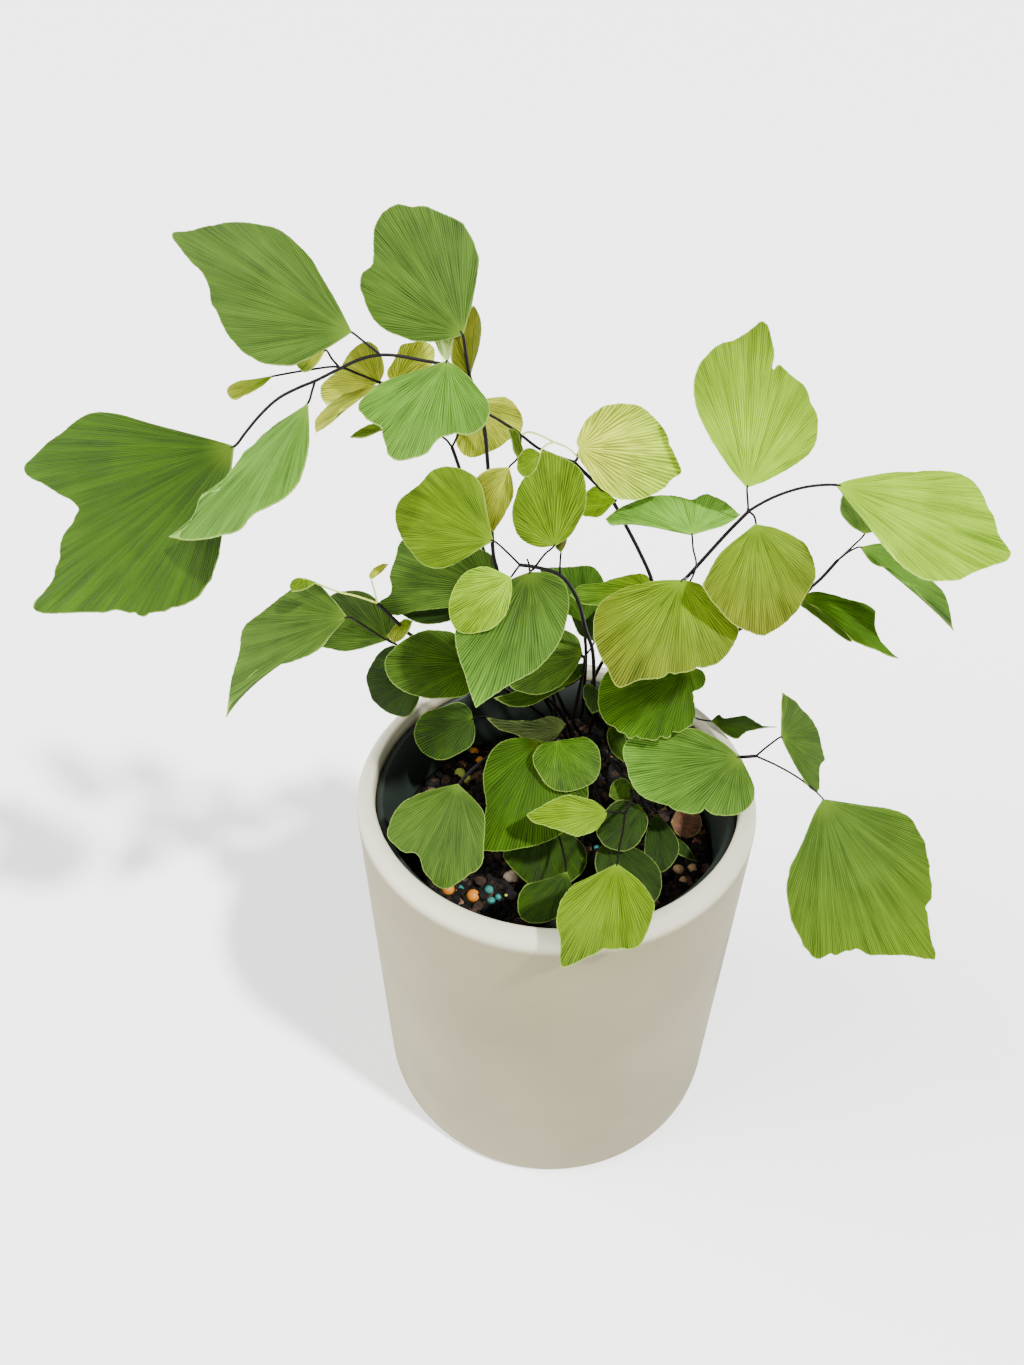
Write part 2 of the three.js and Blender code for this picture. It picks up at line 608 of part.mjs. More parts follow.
fronds.frond_mid_right = {
  colour: 'deep',
  foot: [20, 34],
  stipe: [606, 722, 31, 618, 706, 29, 640, 690, 26, 664, 675, 22, 685, 668, 20],
  stems: {
    out: [fineStem, 664, 675, 22, 680, 700, 23, 696, 718, 24, 712, 721, 25],
  },
  leaflets: {
    serrate: { on: 'stipe', base: [688, 666], depth: 19, face: [-6, 60], droop: 3, wave: 0.7,
      rim: [660, 664, 625, 664, 607, 671, 598, 687, 598, 710, 616, 729, 639, 738, 653, 741, 674, 733,
        693, 727, 695, 715, 693, 692, 703, 687, 706, 681, 703, 669] },
    hang: { on: 'stipe', seat: [606, 722, 31], base: [609, 727], depth: 29, face: [16, 52], droop: 1,
      rim: [607, 735, 614, 754, 624, 763, 627, 745, 622, 732] },
    dart: { on: 'out', base: [711, 721], depth: 25, face: [8, 72], droop: 1,
      rim: [720, 715, 748, 716, 777, 727, 763, 728, 744, 734, 739, 739, 729, 736] },
  },
};

fronds.frond_back_centre = {
  colour: 'deep',
  foot: [11, 49],
  stipe: [582, 712, 46, 584, 690, 45, 586, 655, 43, 584, 628, 41],
  stems: {
    side: [fineStem, 586, 655, 43, 591, 648, 41, 594, 642, 39],
  },
  leaflets: {
    grey: { on: 'stipe', base: [583, 622], depth: 40, face: [-4, 30], droop: 1,
      rim: [555, 606, 541, 585, 540, 568, 567, 567, 595, 568, 604, 582, 600, 604] },
    dark: { on: 'side', base: [594, 641], depth: 38, face: [-24, 34], droop: 0.5, wave: 0,
      rim: [580, 635, 573, 622, 569, 606, 590, 604, 600, 615] },
  },
};

fronds.frond_centre = {
  colour: 'fresh',
  foot: [14, 38],
  stipe: [594, 716, 34, 594, 694, 29, 594, 675, 25, 592, 648, 22, 586, 631, 21, 579, 604, 19, 572, 589, 18,
    560, 575, 16, 535, 567, 12, 520, 565, 10],
  stems: {
    left: [fineStem, 520, 565, 10, 508, 553, 8, 494, 541, 6],
    lowLeft: [fineStem, 520, 565, 10, 516, 570, 6, 511, 577, 2],
    riser: [fineStem, 535, 567, 12, 545, 554, 12, 554, 546, 12],
    fold: [fineStem, 560, 575, 16, 560, 565, 15, 561, 553, 14],
    crozier: [fineStem, 536, 567, 12, 530, 571, 12, 529, 564, 12, 527, 559, 12],
    spur: [fineStem, 534, 568, 12, 532, 570, 10, 530, 572, 8],
  },
  leaflets: {
    left: { on: 'left', base: [493, 541], depth: 6, face: [-16, 36], droop: 2.5,
      rim: [488, 527, 486, 509, 481, 486, 476, 477, 460, 468, 441, 467, 431, 472, 421, 483, 397, 504,
        404, 543, 411, 552, 422, 564, 436, 569, 451, 566, 466, 558, 482, 547] },
    upper: { on: 'riser', base: [555, 546], depth: 12, face: [-6, 24], droop: 2,
      rim: [538, 547, 525, 542, 517, 534, 512, 515, 514, 500, 519, 486, 525, 477, 533, 462, 542, 452,
        561, 457, 574, 464, 582, 472, 586, 486, 584, 512, 578, 524, 570, 536] },
    fold: { on: 'fold', base: [561, 553], depth: 14, face: [10, 30], droop: 0.4, wave: 0,
      rim: [555, 546, 560, 538, 567, 535, 566, 544] },
    small: { on: 'lowLeft', base: [511, 577], depth: 1.5, face: [-10, 44], droop: 2,
      rim: [501, 572, 482, 567, 470, 570, 459, 579, 452, 593, 451, 621, 457, 630, 482, 632, 491, 629,
        503, 619, 510, 602, 512, 588] },
    shaded: { on: 'stipe', seat: [594, 694, 29], base: [592, 684], depth: 25, face: [-8, 46], droop: 0.5,
      wave: 0, rim: [585, 685, 583, 693, 585, 702, 592, 714, 598, 711, 600, 694] },
    heart: { on: 'spur', base: [529, 572], depth: 8, face: [0, 52], droop: 3,
      rim: [512, 579, 490, 595, 462, 610, 455, 633, 466, 679, 476, 708, 493, 696, 512, 683, 537, 669,
        556, 648, 566, 625, 569, 602, 564, 583, 552, 574] },
  },
};

fronds.frond_left = {
  colour: 'deep',
  foot: [7, 36],
  stipe: [560, 712, 36, 540, 692, 35, 500, 668, 29, 455, 652, 24, 411, 635, 21, 396, 621, 19, 377, 603, 18],
  stems: {
    near: [fineStem, 455, 652, 24, 425, 652, 21, 397, 645, 17, 370, 630, 11, 348, 617, 6],
    yellow: [fineStem, 377, 603, 18, 356, 596, 16, 339, 592, 14, 318, 584, 12, 303, 578, 11],
    bud: [fineStem, 377, 603, 18, 375, 593, 17, 371, 579, 16],
    mid: [fineStem, 397, 645, 17, 393, 642, 18, 389, 640, 19],
  },
  leaflets: {
    outer: { on: 'near', base: [347, 617], depth: 6, face: [-34, 44], droop: 4, wave: 0.8,
      rim: [331, 597, 317, 584, 309, 583, 281, 597, 262, 612, 243, 629, 239, 652, 231, 681, 226, 718,
        237, 693, 254, 672, 291, 662, 316, 651, 326, 642, 332, 626] },
    inner: { on: 'mid', base: [388, 640], depth: 19, face: [-14, 54], droop: 2,
      rim: [400, 632, 396, 621, 382, 606, 370, 594, 345, 591, 331, 596, 325, 625, 321, 647, 341, 651,
        358, 649, 373, 645] },
    pod: { on: 'near', seat: [397, 645, 17], base: [394, 643], depth: 15, face: [-8, 52], droop: 1, wave: 0,
      rim: [387, 636, 396, 625, 406, 619, 413, 621, 409, 630, 401, 640] },
    curl: { on: 'yellow', base: [305, 579], depth: 11, face: [-30, 60], droop: 1, wave: 0,
      rim: [316, 582, 308, 588, 292, 592, 290, 586, 297, 578] },
    sprout: { on: 'bud', base: [371, 580], depth: 16, face: [12, 60], droop: 0.5, wave: 0,
      rim: [369, 577, 372, 571, 383, 564, 389, 564, 383, 571] },
  },
};

fronds.frond_left_back = {
  colour: 'deep',
  foot: [1, 46],
  stipe: [552, 712, 46, 530, 675, 44, 505, 625, 38, 494, 594, 31],
  stems: {
    low: [fineStem, 505, 625, 38, 494, 616, 36, 484, 608, 32],
  },
  leaflets: {
    broad: { on: 'stipe', base: [492, 590], depth: 29, face: [-14, 37], droop: 3,
      rim: [499, 570, 494, 557, 483, 550, 450, 548, 420, 540, 403, 540, 395, 560, 390, 575, 391, 593,
        379, 602, 390, 614, 416, 611, 455, 606] },
    shaded: { on: 'low', base: [483, 607], depth: 32, face: [-10, 58], droop: 1,
      rim: [455, 610, 425, 606, 398, 612, 416, 622, 432, 624, 449, 621] },
  },
};

fronds.frond_low_left = {
  colour: 'deep',
  foot: [0, 37],
  stipe: [545, 718, 33, 515, 696, 28, 492, 680, 19, 476, 664, 12],
  stems: {
    low: [fineStem, 492, 680, 19, 465, 680, 20, 440, 678, 19, 424, 676, 18],
  },
  leaflets: {
    upper: { on: 'stipe', base: [474, 662], depth: 11, face: [8, 52], droop: 2.5,
      rim: [454, 633, 438, 630, 423, 631, 409, 637, 395, 647, 386, 659, 385, 670, 390, 680, 404, 691,
        420, 697, 441, 698, 469, 693] },
    under: { on: 'low', base: [423, 676], depth: 18, face: [-24, 50], droop: 1.5,
      rim: [408, 655, 395, 645, 384, 649, 371, 666, 366, 677, 369, 691, 373, 701, 384, 710, 397, 716,
        408, 716, 413, 711, 419, 699] },
  },
};

fronds.frond_centre_low = {
  colour: 'deep',
  foot: [11, 33],
  stipe: [573, 722, 31, 577, 700, 27, 582, 676, 23, 584, 657, 21],
  stems: {
    slant: [fineStem, 582, 676, 23, 575, 682, 21, 568, 686, 19],
  },
  leaflets: {
    dark: { on: 'stipe', base: [583, 655], depth: 21, face: [-6, 56], droop: 2,
      rim: [577, 637, 564, 630, 545, 632, 525, 650, 514, 668, 510, 686, 524, 693, 541, 694, 560, 686,
        575, 669] },
    edge: { on: 'slant', base: [566, 687], depth: 19, face: [-4, 62], droop: 1,
      rim: [583, 673, 586, 663, 578, 664, 555, 680, 520, 690, 494, 698, 504, 704, 529, 706, 545, 698] },
  },
};

fronds.frond_inner_left = {
  colour: 'deep',
  foot: [-4, 40],
  stipe: [535, 730, 36, 510, 726, 31, 490, 718, 27],
  stems: {
    out: [fineStem, 490, 718, 27, 483, 717, 25, 474, 718, 23],
  },
  leaflets: {
    round: { on: 'out', base: [473, 719], depth: 23, face: [-16, 56], droop: 1.5,
      rim: [471, 711, 462, 703, 440, 708, 424, 714, 414, 736, 424, 753, 438, 760, 459, 754, 472, 744,
        475, 730] },
  },
};

fronds.frond_grey_low = {
  colour: 'deep',
  foot: [5, 29],
  stipe: [568, 748, 24, 567, 740, 22, 564, 733, 20],
  stems: {},
  leaflets: {
    grey: { on: 'stipe', base: [562, 730], depth: 19, face: [-4, 70], droop: 1,
      rim: [566, 724, 557, 718, 530, 721, 502, 720, 487, 718, 492, 724, 519, 736, 539, 743, 556, 738] },
  },
};

fronds.frond_front_left = {
  colour: 'deep',
  foot: [-3, 29],
  stipe: [520, 752, 22, 495, 754, 12, 478, 765, 0, 466, 776, -10],
  stems: {},
  leaflets: {
    broad: { on: 'stipe', base: [458, 784], depth: -16, face: [-18, 58], droop: 3,
      rim: [435, 788, 414, 797, 395, 813, 387, 835, 395, 846, 414, 855, 424, 872, 443, 889, 459, 883,
        478, 872, 482, 848, 483, 813, 470, 795] },
  },
};

fronds.frond_front = {
  colour: 'fresh',
  foot: [9, 28],
  stipe: [572, 756, 20, 558, 748, 12, 545, 742, 5],
  stems: {
    right: [fineStem, 558, 748, 12, 561, 741, 7, 558, 740, 2],
  },
  leaflets: {
    large: { on: 'stipe', base: [540, 741], depth: 4, face: [-6, 60], droop: 3,
      rim: [510, 738, 491, 749, 483, 784, 486, 811, 476, 832, 478, 848, 505, 851, 531, 847, 558, 836,
        588, 800, 580, 770, 562, 745] },
    round: { on: 'right', base: [557, 741], depth: 1, face: [4, 58], droop: 1.5,
      rim: [541, 745, 533, 755, 540, 776, 547, 786, 564, 792, 582, 788, 596, 779, 601, 762, 597, 746,
        585, 737, 571, 739] },
  },
};

fronds.frond_spray = {
  colour: 'fresh',
  foot: [16, 30],
  stipe: [605, 754, 22, 618, 770, 9, 630, 786, -3, 632, 797, -10, 625, 813, -21],
  stems: {
    front: [fineStem, 625, 813, -21, 623, 830, -31, 619, 850, -40, 617, 864, -47],
    left: [fineStem, 625, 813, -21, 615, 812, -23, 607, 812, -24],
    spur: [fineStem, 630, 786, -3, 619, 793, -6],
  },
  leaflets: {
    bright: { on: 'front', base: [617, 864], depth: -47, face: [-4, 76], droop: 1.5, wave: 0.4,
      rim: [596, 875, 572, 886, 560, 904, 557, 921, 561, 939, 562, 967, 586, 958, 605, 948, 635, 948,
        645, 940, 653, 913, 654, 905, 636, 878] },
    pale: { on: 'left', base: [607, 812], depth: -24, face: [6, 66], droop: 1.5,
      rim: [601, 824, 588, 833, 566, 832, 542, 825, 527, 816, 547, 803, 569, 795, 593, 801] },
    tiny: { on: 'spur', base: [609, 796], depth: -8, face: [4, 60], droop: 0.5, wave: 0,
      rim: [612, 784, 622, 778, 632, 786, 634, 797, 622, 803] },
  },
};

fronds.frond_shade_right = {
  colour: 'deep',
  foot: [21, 27],
  stipe: [636, 778, 10, 640, 792, 2, 642, 804, -10],
  stems: {
    low: [fineStem, 640, 792, 2, 655, 812, -6, 668, 826, -9, 678, 838, -11],
  },
  leaflets: {
    round: { on: 'stipe', base: [641, 806], depth: -12, face: [-6, 66], droop: 1,
      rim: [620, 800, 604, 812, 597, 834, 606, 846, 617, 851, 629, 850, 643, 836, 648, 820] },
    wide: { on: 'low', base: [655, 813], seat: [655, 812, -6], depth: -8, face: [4, 68], droop: 1.5,
      rim: [663, 820, 679, 849, 675, 860, 661, 872, 648, 862, 645, 840] },
    narrow: { on: 'low', base: [678, 838], depth: -11, face: [22, 64], droop: 0.5, wave: 0,
      rim: [676, 850, 697, 862, 688, 847] },
  },
};

fronds.frond_shade_centre = {
  colour: 'deep',
  foot: [14, 22],
  stipe: [600, 800, 2, 603, 815, -6, 606, 832, -15],
  stems: {},
  leaflets: {
    wide: { on: 'stipe', base: [608, 838], depth: -18, face: [0, 70], droop: 1.5,
      rim: [596, 855, 600, 880, 625, 900, 655, 902, 662, 883, 655, 862, 635, 848] },
  },
};

fronds.frond_shade_front = {
  colour: 'deep',
  foot: [4, 23],
  stipe: [553, 792, 8, 549, 808, 0, 546, 822, -8],
  stems: {
    low: [fineStem, 548, 812, -2, 560, 840, -18, 566, 868, -32],
  },
  leaflets: {
    upper: { on: 'stipe', base: [545, 826], depth: -10, face: [-2, 66], droop: 1.5,
      rim: [520, 838, 503, 854, 510, 866, 521, 878, 537, 888, 558, 887, 574, 880, 584, 870, 585, 848,
        570, 834] },
    lower: { on: 'low', base: [567, 872], depth: -34, face: [-2, 72], droop: 1,
      rim: [545, 880, 524, 887, 518, 902, 521, 918, 542, 923, 560, 916, 574, 898] },
  },
};

function frondSolid(frond) {
  const foot = new THREE.Vector3(...frond.foot, soilHeight(...frond.foot));
  const stipePath = [
    foot.clone().add(new THREE.Vector3(0, 0, -rootDepth)),
    foot.clone().add(new THREE.Vector3(0, 0, footRise)),
    ...triples(frond.stipe),
  ];
  const paths = {};
  Object.entries(frond.stems).forEach(([name, [radius, ...flat]]) => {
    paths[name] = { radius, points: triples(flat) };
  });
  paths.stipe = { radius: thickStem, points: stipePath };
  const solids = [];
  Object.values(frond.leaflets).forEach((blade) => {
    const seat = leafletSeat(blade);
    if (blade.seat) {
      const from = placed(...blade.seat);
      solids.push(solidOf(stem([from, placed(...blade.base, blade.depth), seat], fineStem)));
    } else {
      paths[blade.on].points.push(seat);
    }
    solids.push(solidOf(leaflet(blade)));
  });
  Object.values(paths).forEach(({ radius, points }) => solids.push(solidOf(stem(points, radius))));
  const bodies = wasm.Manifold.union(solids).decompose();
  const whole = bodies.reduce((most, body) => (body.volume() > most.volume() ? body : most));
  if (bodies.some((body) => body !== whole && body.volume() > strayVolume)) {
    throw new Error(`the frond at ${frond.foot} does not hold together`);
  }
  return whole.asOriginal().simplify(sliverSize);
}

// The hole in the potting mix that a frond's foot stands in
function frondHole(frond) {
  const radius = thickStem + holeGap;
  const top = soilHeight(...frond.foot) + holeAbove;
  const depth = rootDepth + holeAbove + fitGap;
  const hole = new THREE.CylinderGeometry(radius, radius, depth, holeSides);
  hole.rotateX(Math.PI / 2);
  hole.translate(...frond.foot, top - depth / 2);
  return solidOf(hole);
}

const plant = new THREE.Group();

function place(name, geometry, material) {
  const mesh = new THREE.Mesh(geometry, material);
  mesh.name = name;
  plant.add(mesh);
}

place('cover_pot', coverPot(), finish(colours.ceramic, 0.6));
place('grow_pot', geometryOf(growPot()), finish(colours.liner, 0.5));

const feet = Object.values(fronds).map((frond) => frond.foot);
const holes = wasm.Manifold.union(Object.values(fronds).map(frondHole));
const pottingMix = soilPlug().add(strewn(feet)).subtract(holes);
place('potting_mix', geometryOf(pottingMix), finish(colours.soil, 1));

// A shed brown leaflet that lies on the bed by the right wall
const dryLeaf = {
  base: [671, 822], depth: 4.05, face: [-10, 80], droop: 0.6, wave: 0.2,
  rim: [677, 811, 699, 814, 701, 828, 696, 835, 685, 838, 675, 832],
};
place('dry_leaflet', geometryOf(solidOf(leaflet(dryLeaf))), finish(colours.dry, 0.8));

Object.entries(fronds).forEach(([name, frond]) => {
  place(name, geometryOf(frondSolid(frond)), finish(colours[frond.colour], 0.55));
});

export default plant;
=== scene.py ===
import math

import bmesh
import bpy
import numpy as np
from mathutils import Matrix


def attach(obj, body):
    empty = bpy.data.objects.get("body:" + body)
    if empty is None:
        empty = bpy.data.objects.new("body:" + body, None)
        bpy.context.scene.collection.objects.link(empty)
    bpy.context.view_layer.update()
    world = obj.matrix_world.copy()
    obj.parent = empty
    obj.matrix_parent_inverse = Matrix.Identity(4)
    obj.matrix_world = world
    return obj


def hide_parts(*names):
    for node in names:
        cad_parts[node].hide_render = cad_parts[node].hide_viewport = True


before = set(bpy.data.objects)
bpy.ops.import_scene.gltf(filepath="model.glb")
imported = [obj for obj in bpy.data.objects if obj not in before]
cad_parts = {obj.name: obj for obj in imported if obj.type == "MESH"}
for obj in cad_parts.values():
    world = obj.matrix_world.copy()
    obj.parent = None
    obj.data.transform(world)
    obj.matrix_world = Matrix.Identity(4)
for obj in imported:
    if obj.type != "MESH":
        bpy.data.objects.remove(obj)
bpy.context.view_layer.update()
scene = bpy.context.scene
mm = 0.001
print("frame loaded,", len(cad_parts), "nodes")


# the photograph's view: eye in millimetres, pitch in degrees, focal length and frame in pixels
view = dict(eye=(-14.3, -221.9, 359.3), pitch=38.96, focal=950, width=1024, height=1365, film=36)

pitch = math.radians(view["pitch"])
eye = np.array(view["eye"])


def addObject(name, data):
    made = bpy.data.objects.new(name, data)
    scene.collection.objects.link(made)
    return made


def addCamera():
    data = bpy.data.cameras.new("photoView")
    data.sensor_width = view["film"]
    data.lens = view["focal"] * view["film"] / view["height"]
    camera = addObject("photoView", data)
    camera.location = eye * mm
    camera.rotation_euler = (math.pi / 2 - pitch, 0, 0)
    scene.camera = camera


def sightLines(px, py):  # directions from the eye through points of the frame
    across = (np.asarray(px, float) - view["width"] / 2) / view["focal"]
    up = (view["height"] / 2 - np.asarray(py, float)) / view["focal"]
    forward = math.cos(pitch) + up * math.sin(pitch)
    return np.stack([across, forward, up * math.cos(pitch) - math.sin(pitch)], axis=-1)


def placed(px, py, depth):  # the point seen there that lies depth mm behind the pot's axis
    ray = sightLines(px, py)
    return eye + ray * ((np.asarray(depth, float) - eye[1]) / ray[..., 1])[..., None]


addCamera()
print("camera set")


class Wire:  # a shader socket that takes part in Python sums
    def __init__(self, graph, socket):
        self.graph = graph
        self.socket = socket

    def maths(self, operation, *values):
        sockets = {i: value for i, value in enumerate(values)}
        return self.graph.node("ShaderNodeMath", {"operation": operation}, sockets)

    def __add__(self, other):
        return self.maths("ADD", self, other)

    def __radd__(self, other):
        return self.maths("ADD", other, self)

    def __sub__(self, other):
        return self.maths("SUBTRACT", self, other)

    def __rsub__(self, other):
        return self.maths("SUBTRACT", other, self)

    def __mul__(self, other):
        return self.maths("MULTIPLY", self, other)

    def __rmul__(self, other):
        return self.maths("MULTIPLY", other, self)

    def __pow__(self, other):
        return self.maths("POWER", self, other)

    def sine(self):
        return self.maths("SINE", self)

    def ramp(self, low, high):  # 0 below low, 1 above high, smooth between
        sockets = {"Value": self, "From Min": low, "From Max": high}
        return self.graph.node("ShaderNodeMapRange", {"interpolation_type": "SMOOTHSTEP"}, sockets)


class Tree:  # any node tree
    def __init__(self, tree):
        self.tree = tree

    def node(self, kind, settings=None, sockets=None, out=0):
        made = self.tree.nodes.new(kind)
        for name, value in (settings or {}).items():
            setattr(made, name, value)
        for name, value in (sockets or {}).items():
            self.feed(made.inputs[name], value)
        return Wire(self, made.outputs[out]) if made.outputs else None

    def feed(self, socket, value):
        if isinstance(value, Wire):
            self.tree.links.new(value.socket, socket)
        elif isinstance(value, tuple) and len(value) == 3 and socket.type == "RGBA":
            socket.default_value = (*value, 1)
        else:
            socket.default_value = value


class Group(Tree):  # a geometry node group, with its inputs besides the geometry
    def __init__(self, name, inputs):
        super().__init__(bpy.data.node_groups.new(name, "GeometryNodeTree"))
        face = self.tree.interface
        for title, kind in dict(Geometry="Geometry", **inputs).items():
            face.new_socket(title, in_out="INPUT", socket_type="NodeSocket" + kind)
        face.new_socket("Geometry", in_out="OUTPUT", socket_type="NodeSocketGeometry")
        self.entry = self.node("NodeGroupInput").socket.node

    def given(self, name):
        return Wire(self, self.entry.outputs[name])

    def finish(self, geometry):
        self.node("NodeGroupOutput", None, {"Geometry": geometry})
        return self.tree


class Graph(Tree):  # the nodes of one material
    def __init__(self, name):
        self.material = bpy.data.materials.new(name)
        self.material.use_nodes = True
        super().__init__(self.material.node_tree)
        self.shader = self.tree.nodes["Principled BSDF"]

    def blend(self, factor, a, b, mode="MIX"):
        settings = {"data_type": "RGBA", "blend_type": mode, "clamp_factor": True}
        return self.node("ShaderNodeMix", settings, {0: factor, 6: a, 7: b}, out=2)

    def noise(self, where, scale, detail=2, rough=0.5):
        sockets = {"Vector": where, "Scale": scale, "Detail": detail, "Roughness": rough}
        return self.node("ShaderNodeTexNoise", None, sockets)

    def place(self):
        return self.node("ShaderNodeTexCoord", out=3)

    def parts(self, vector):  # its x, y and z
        made = self.node("ShaderNodeSeparateXYZ", None, {0: vector}).socket.node
        return [Wire(self, socket) for socket in made.outputs]

    def attribute(self, name, out=0):
        return self.node("ShaderNodeAttribute", {"attribute_name": name}, out=out)

    def bump(self, height, strength, distance):
        sockets = {"Height": height, "Strength": strength, "Distance": distance}
        return self.node("ShaderNodeBump", None, sockets)

    def finish(self, **sockets):
        for name, value in sockets.items():
            self.feed(self.shader.inputs[name.replace("_", " ")], value)
        return self.material


def tint(code):  # a hex colour as linear values
    values = [int(code[i:i + 2], 16) / 255 for i in (1, 3, 5)]
    return tuple(v / 12.92 if v <= 0.04045 else ((v + 0.055) / 1.055) ** 2.4 for v in values)


def newPiece(name, points, faces, materials, smooth=True):
    mesh = bpy.data.meshes.new(name)
    mesh.from_pydata([tuple(p) for p in points], [], [tuple(f) for f in faces])
    for material in materials:
        mesh.materials.append(material)
    mesh.polygons.foreach_set("use_smooth", [smooth] * len(mesh.polygons))
    mesh.update()
    return addObject(name, mesh)


def store(mesh, name, kind, values):
    field = "color" if kind == "FLOAT_COLOR" else "vector" if kind == "FLOAT_VECTOR" else "value"
    data = mesh.attributes.new(name, kind, "POINT").data
    data.foreach_set(field, np.asarray(values, dtype=np.float32).ravel())


# stage: a pale floor and soft light

stage = dict(floor="#ececec", floorSize=30, rough=0.9, gloss=0.1, sky=0.6, lamps=dict(
    key=dict(power=9.8, spread=4, turn=124, tilt=36),
    side=dict(power=10, spread=60, turn=-95, tilt=62),
    front=dict(power=3.6, spread=60, turn=190, tilt=70)))


def pointAt(thing, target):
    direction = np.array(target) - np.array(thing.location)
    flat = math.hypot(direction[0], direction[1])
    thing.rotation_euler = (math.atan2(flat, -direction[2]), 0, math.atan2(-direction[0], direction[1]))


def addStage():
    graph = Graph("paleFloor")
    graph.finish(Base_Color=tint(stage["floor"]), Roughness=stage["rough"],
        Specular_IOR_Level=stage["gloss"])
    half = stage["floorSize"] / 2
    corners = [(-half, -half, 0), (half, -half, 0), (half, half, 0), (-half, half, 0)]
    floor = newPiece("floor", corners, [(0, 1, 2, 3)], [graph.material], smooth=False)
    for name, given in stage["lamps"].items():
        lamp = bpy.data.lights.new(name + "Light", "SUN")
        lamp.energy = given["power"]
        lamp.angle = math.radians(given["spread"])
        lampObject = addObject(name + "Light", lamp)
        tilt, turn = math.radians(given["tilt"]), math.radians(given["turn"])
        flat = math.sin(tilt)
        lampObject.location = (flat * math.sin(turn), flat * math.cos(turn), math.cos(tilt))
        pointAt(lampObject, (0, 0, 0))
    world = bpy.data.worlds.new("studio")
    world.use_nodes = True
    world.node_tree.nodes["Background"].inputs["Color"].default_value = (1, 1, 1, 1)
    world.node_tree.nodes["Background"].inputs["Strength"].default_value = stage["sky"]
    scene.world = world


addStage()
print("stage and lights set")


# cover pot: matte off-white ceramic with a thick rounded rim, and a painted highlight along the rim's top

pot = dict(height=140, rimRadius=65, footRadius=64, wall=5.9, floor=6, rimRounding=5, footRounding=4,
    sides=180, footRows=8, rimRows=12, lipRows=4, floorRows=3, wallRows=14, insideRows=8,
    glaze="#665f42", shade="#5e583c", speck="#544e38", rimHighlight="#a09e88", rimBand=0.1345, bandFade=0.0035,
    bandWander=0.0006, cloudScale=22, grainScale=900, speckScale=520, waveScale=60, bump=(0.22, 0.0004),
    rough=0.5, roughDrift=0.12, gloss=0.38, cloudSpan=(0.3, 0.75), speckSpan=(0.7, 0.76), speckShare=0.35,
    grainDepth=0.5, waveDepth=1.5)


def corner(radius, height, rounding, start, steps):
    angles = start + np.linspace(0, math.pi / 2, steps + 1)
    return [(radius + rounding * math.cos(a), height + rounding * math.sin(a)) for a in angles]


def stretch(first, last, steps):  # evenly spaced points between two profile points, both left out
    shares = np.linspace(0, 1, steps + 1)[1:-1]
    return [(first[0] + (last[0] - first[0]) * s, first[1] + (last[1] - first[1]) * s) for s in shares]


def turnedPiece(name, profile, sides, material):
    rows = [p for p in profile if p[0] > 0]
    angles = np.linspace(0, 2 * math.pi, sides, endpoint=False)
    points = [(0, 0, profile[0][1] * mm), (0, 0, profile[-1][1] * mm)]
    for radius, height in rows:
        points += [(radius * math.cos(a) * mm, radius * math.sin(a) * mm, height * mm) for a in angles]
    faces = []
    at = lambda row, side: 2 + row * sides + side % sides
    for side in range(sides):
        faces.append((0, at(0, side + 1), at(0, side)))
        faces.append((1, at(len(rows) - 1, side), at(len(rows) - 1, side + 1)))
        for row in range(len(rows) - 1):
            faces.append((at(row, side), at(row, side + 1), at(row + 1, side + 1), at(row + 1, side)))
    return newPiece(name, points, faces, [material])


def matteCeramic():
    g = Graph("matteCeramic")
    where = g.place()
    cloud = g.noise(where, pot["cloudScale"], 3)
    grain = g.noise(where, pot["grainScale"], 3, 0.6)
    specks = g.noise(where, pot["speckScale"], 1).ramp(*pot["speckSpan"])
    colour = g.blend(cloud.ramp(*pot["cloudSpan"]), tint(pot["glaze"]), tint(pot["shade"]))
    colour = g.blend(specks * pot["speckShare"], colour, tint(pot["speck"]))
    # painted highlight: above rimBand the glaze turns paler, for the light that falls on the rim's upper
    # rounding
    tall = g.parts(where)[2] + cloud * pot["bandWander"]
    rimward = tall.ramp(pot["rimBand"], pot["rimBand"] + pot["bandFade"])
    colour = g.blend(rimward, colour, tint(pot["rimHighlight"]))
    height = grain * pot["grainDepth"] + g.noise(where, pot["waveScale"], 2) * pot["waveDepth"]
    rough = pot["rough"] + cloud * pot["roughDrift"]
    return g.finish(Base_Color=colour, Roughness=rough, Normal=g.bump(height, *pot["bump"]),
        Specular_IOR_Level=pot["gloss"])


def coverPot():
    inner = pot["rimRadius"] - pot["wall"]
    lip = pot["wall"] - pot["rimRounding"]
    foot = corner(pot["footRadius"] - pot["footRounding"], pot["footRounding"], pot["footRounding"],
        -math.pi / 2, pot["footRows"])
    rim = corner(pot["rimRadius"] - pot["rimRounding"], pot["height"] - pot["rimRounding"],
        pot["rimRounding"], 0, pot["rimRows"])
    innerLip = corner(inner + lip, pot["height"] - lip, lip, math.pi / 2, pot["lipRows"])
    inside = (inner, pot["floor"])
    profile = [(0, 0), *stretch((0, 0), foot[0], pot["floorRows"]), *foot,
        *stretch(foot[-1], rim[0], pot["wallRows"]), *rim, *innerLip,
        *stretch(innerLip[-1], inside, pot["insideRows"]), inside, (0, pot["floor"])]
    piece = turnedPiece("coverPot", profile, pot["sides"], matteCeramic())
    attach(piece, "root")
    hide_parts("cover_pot")


coverPot()
print("cover pot made")


# grow pot: thin dark green plastic with a lip and drain holes

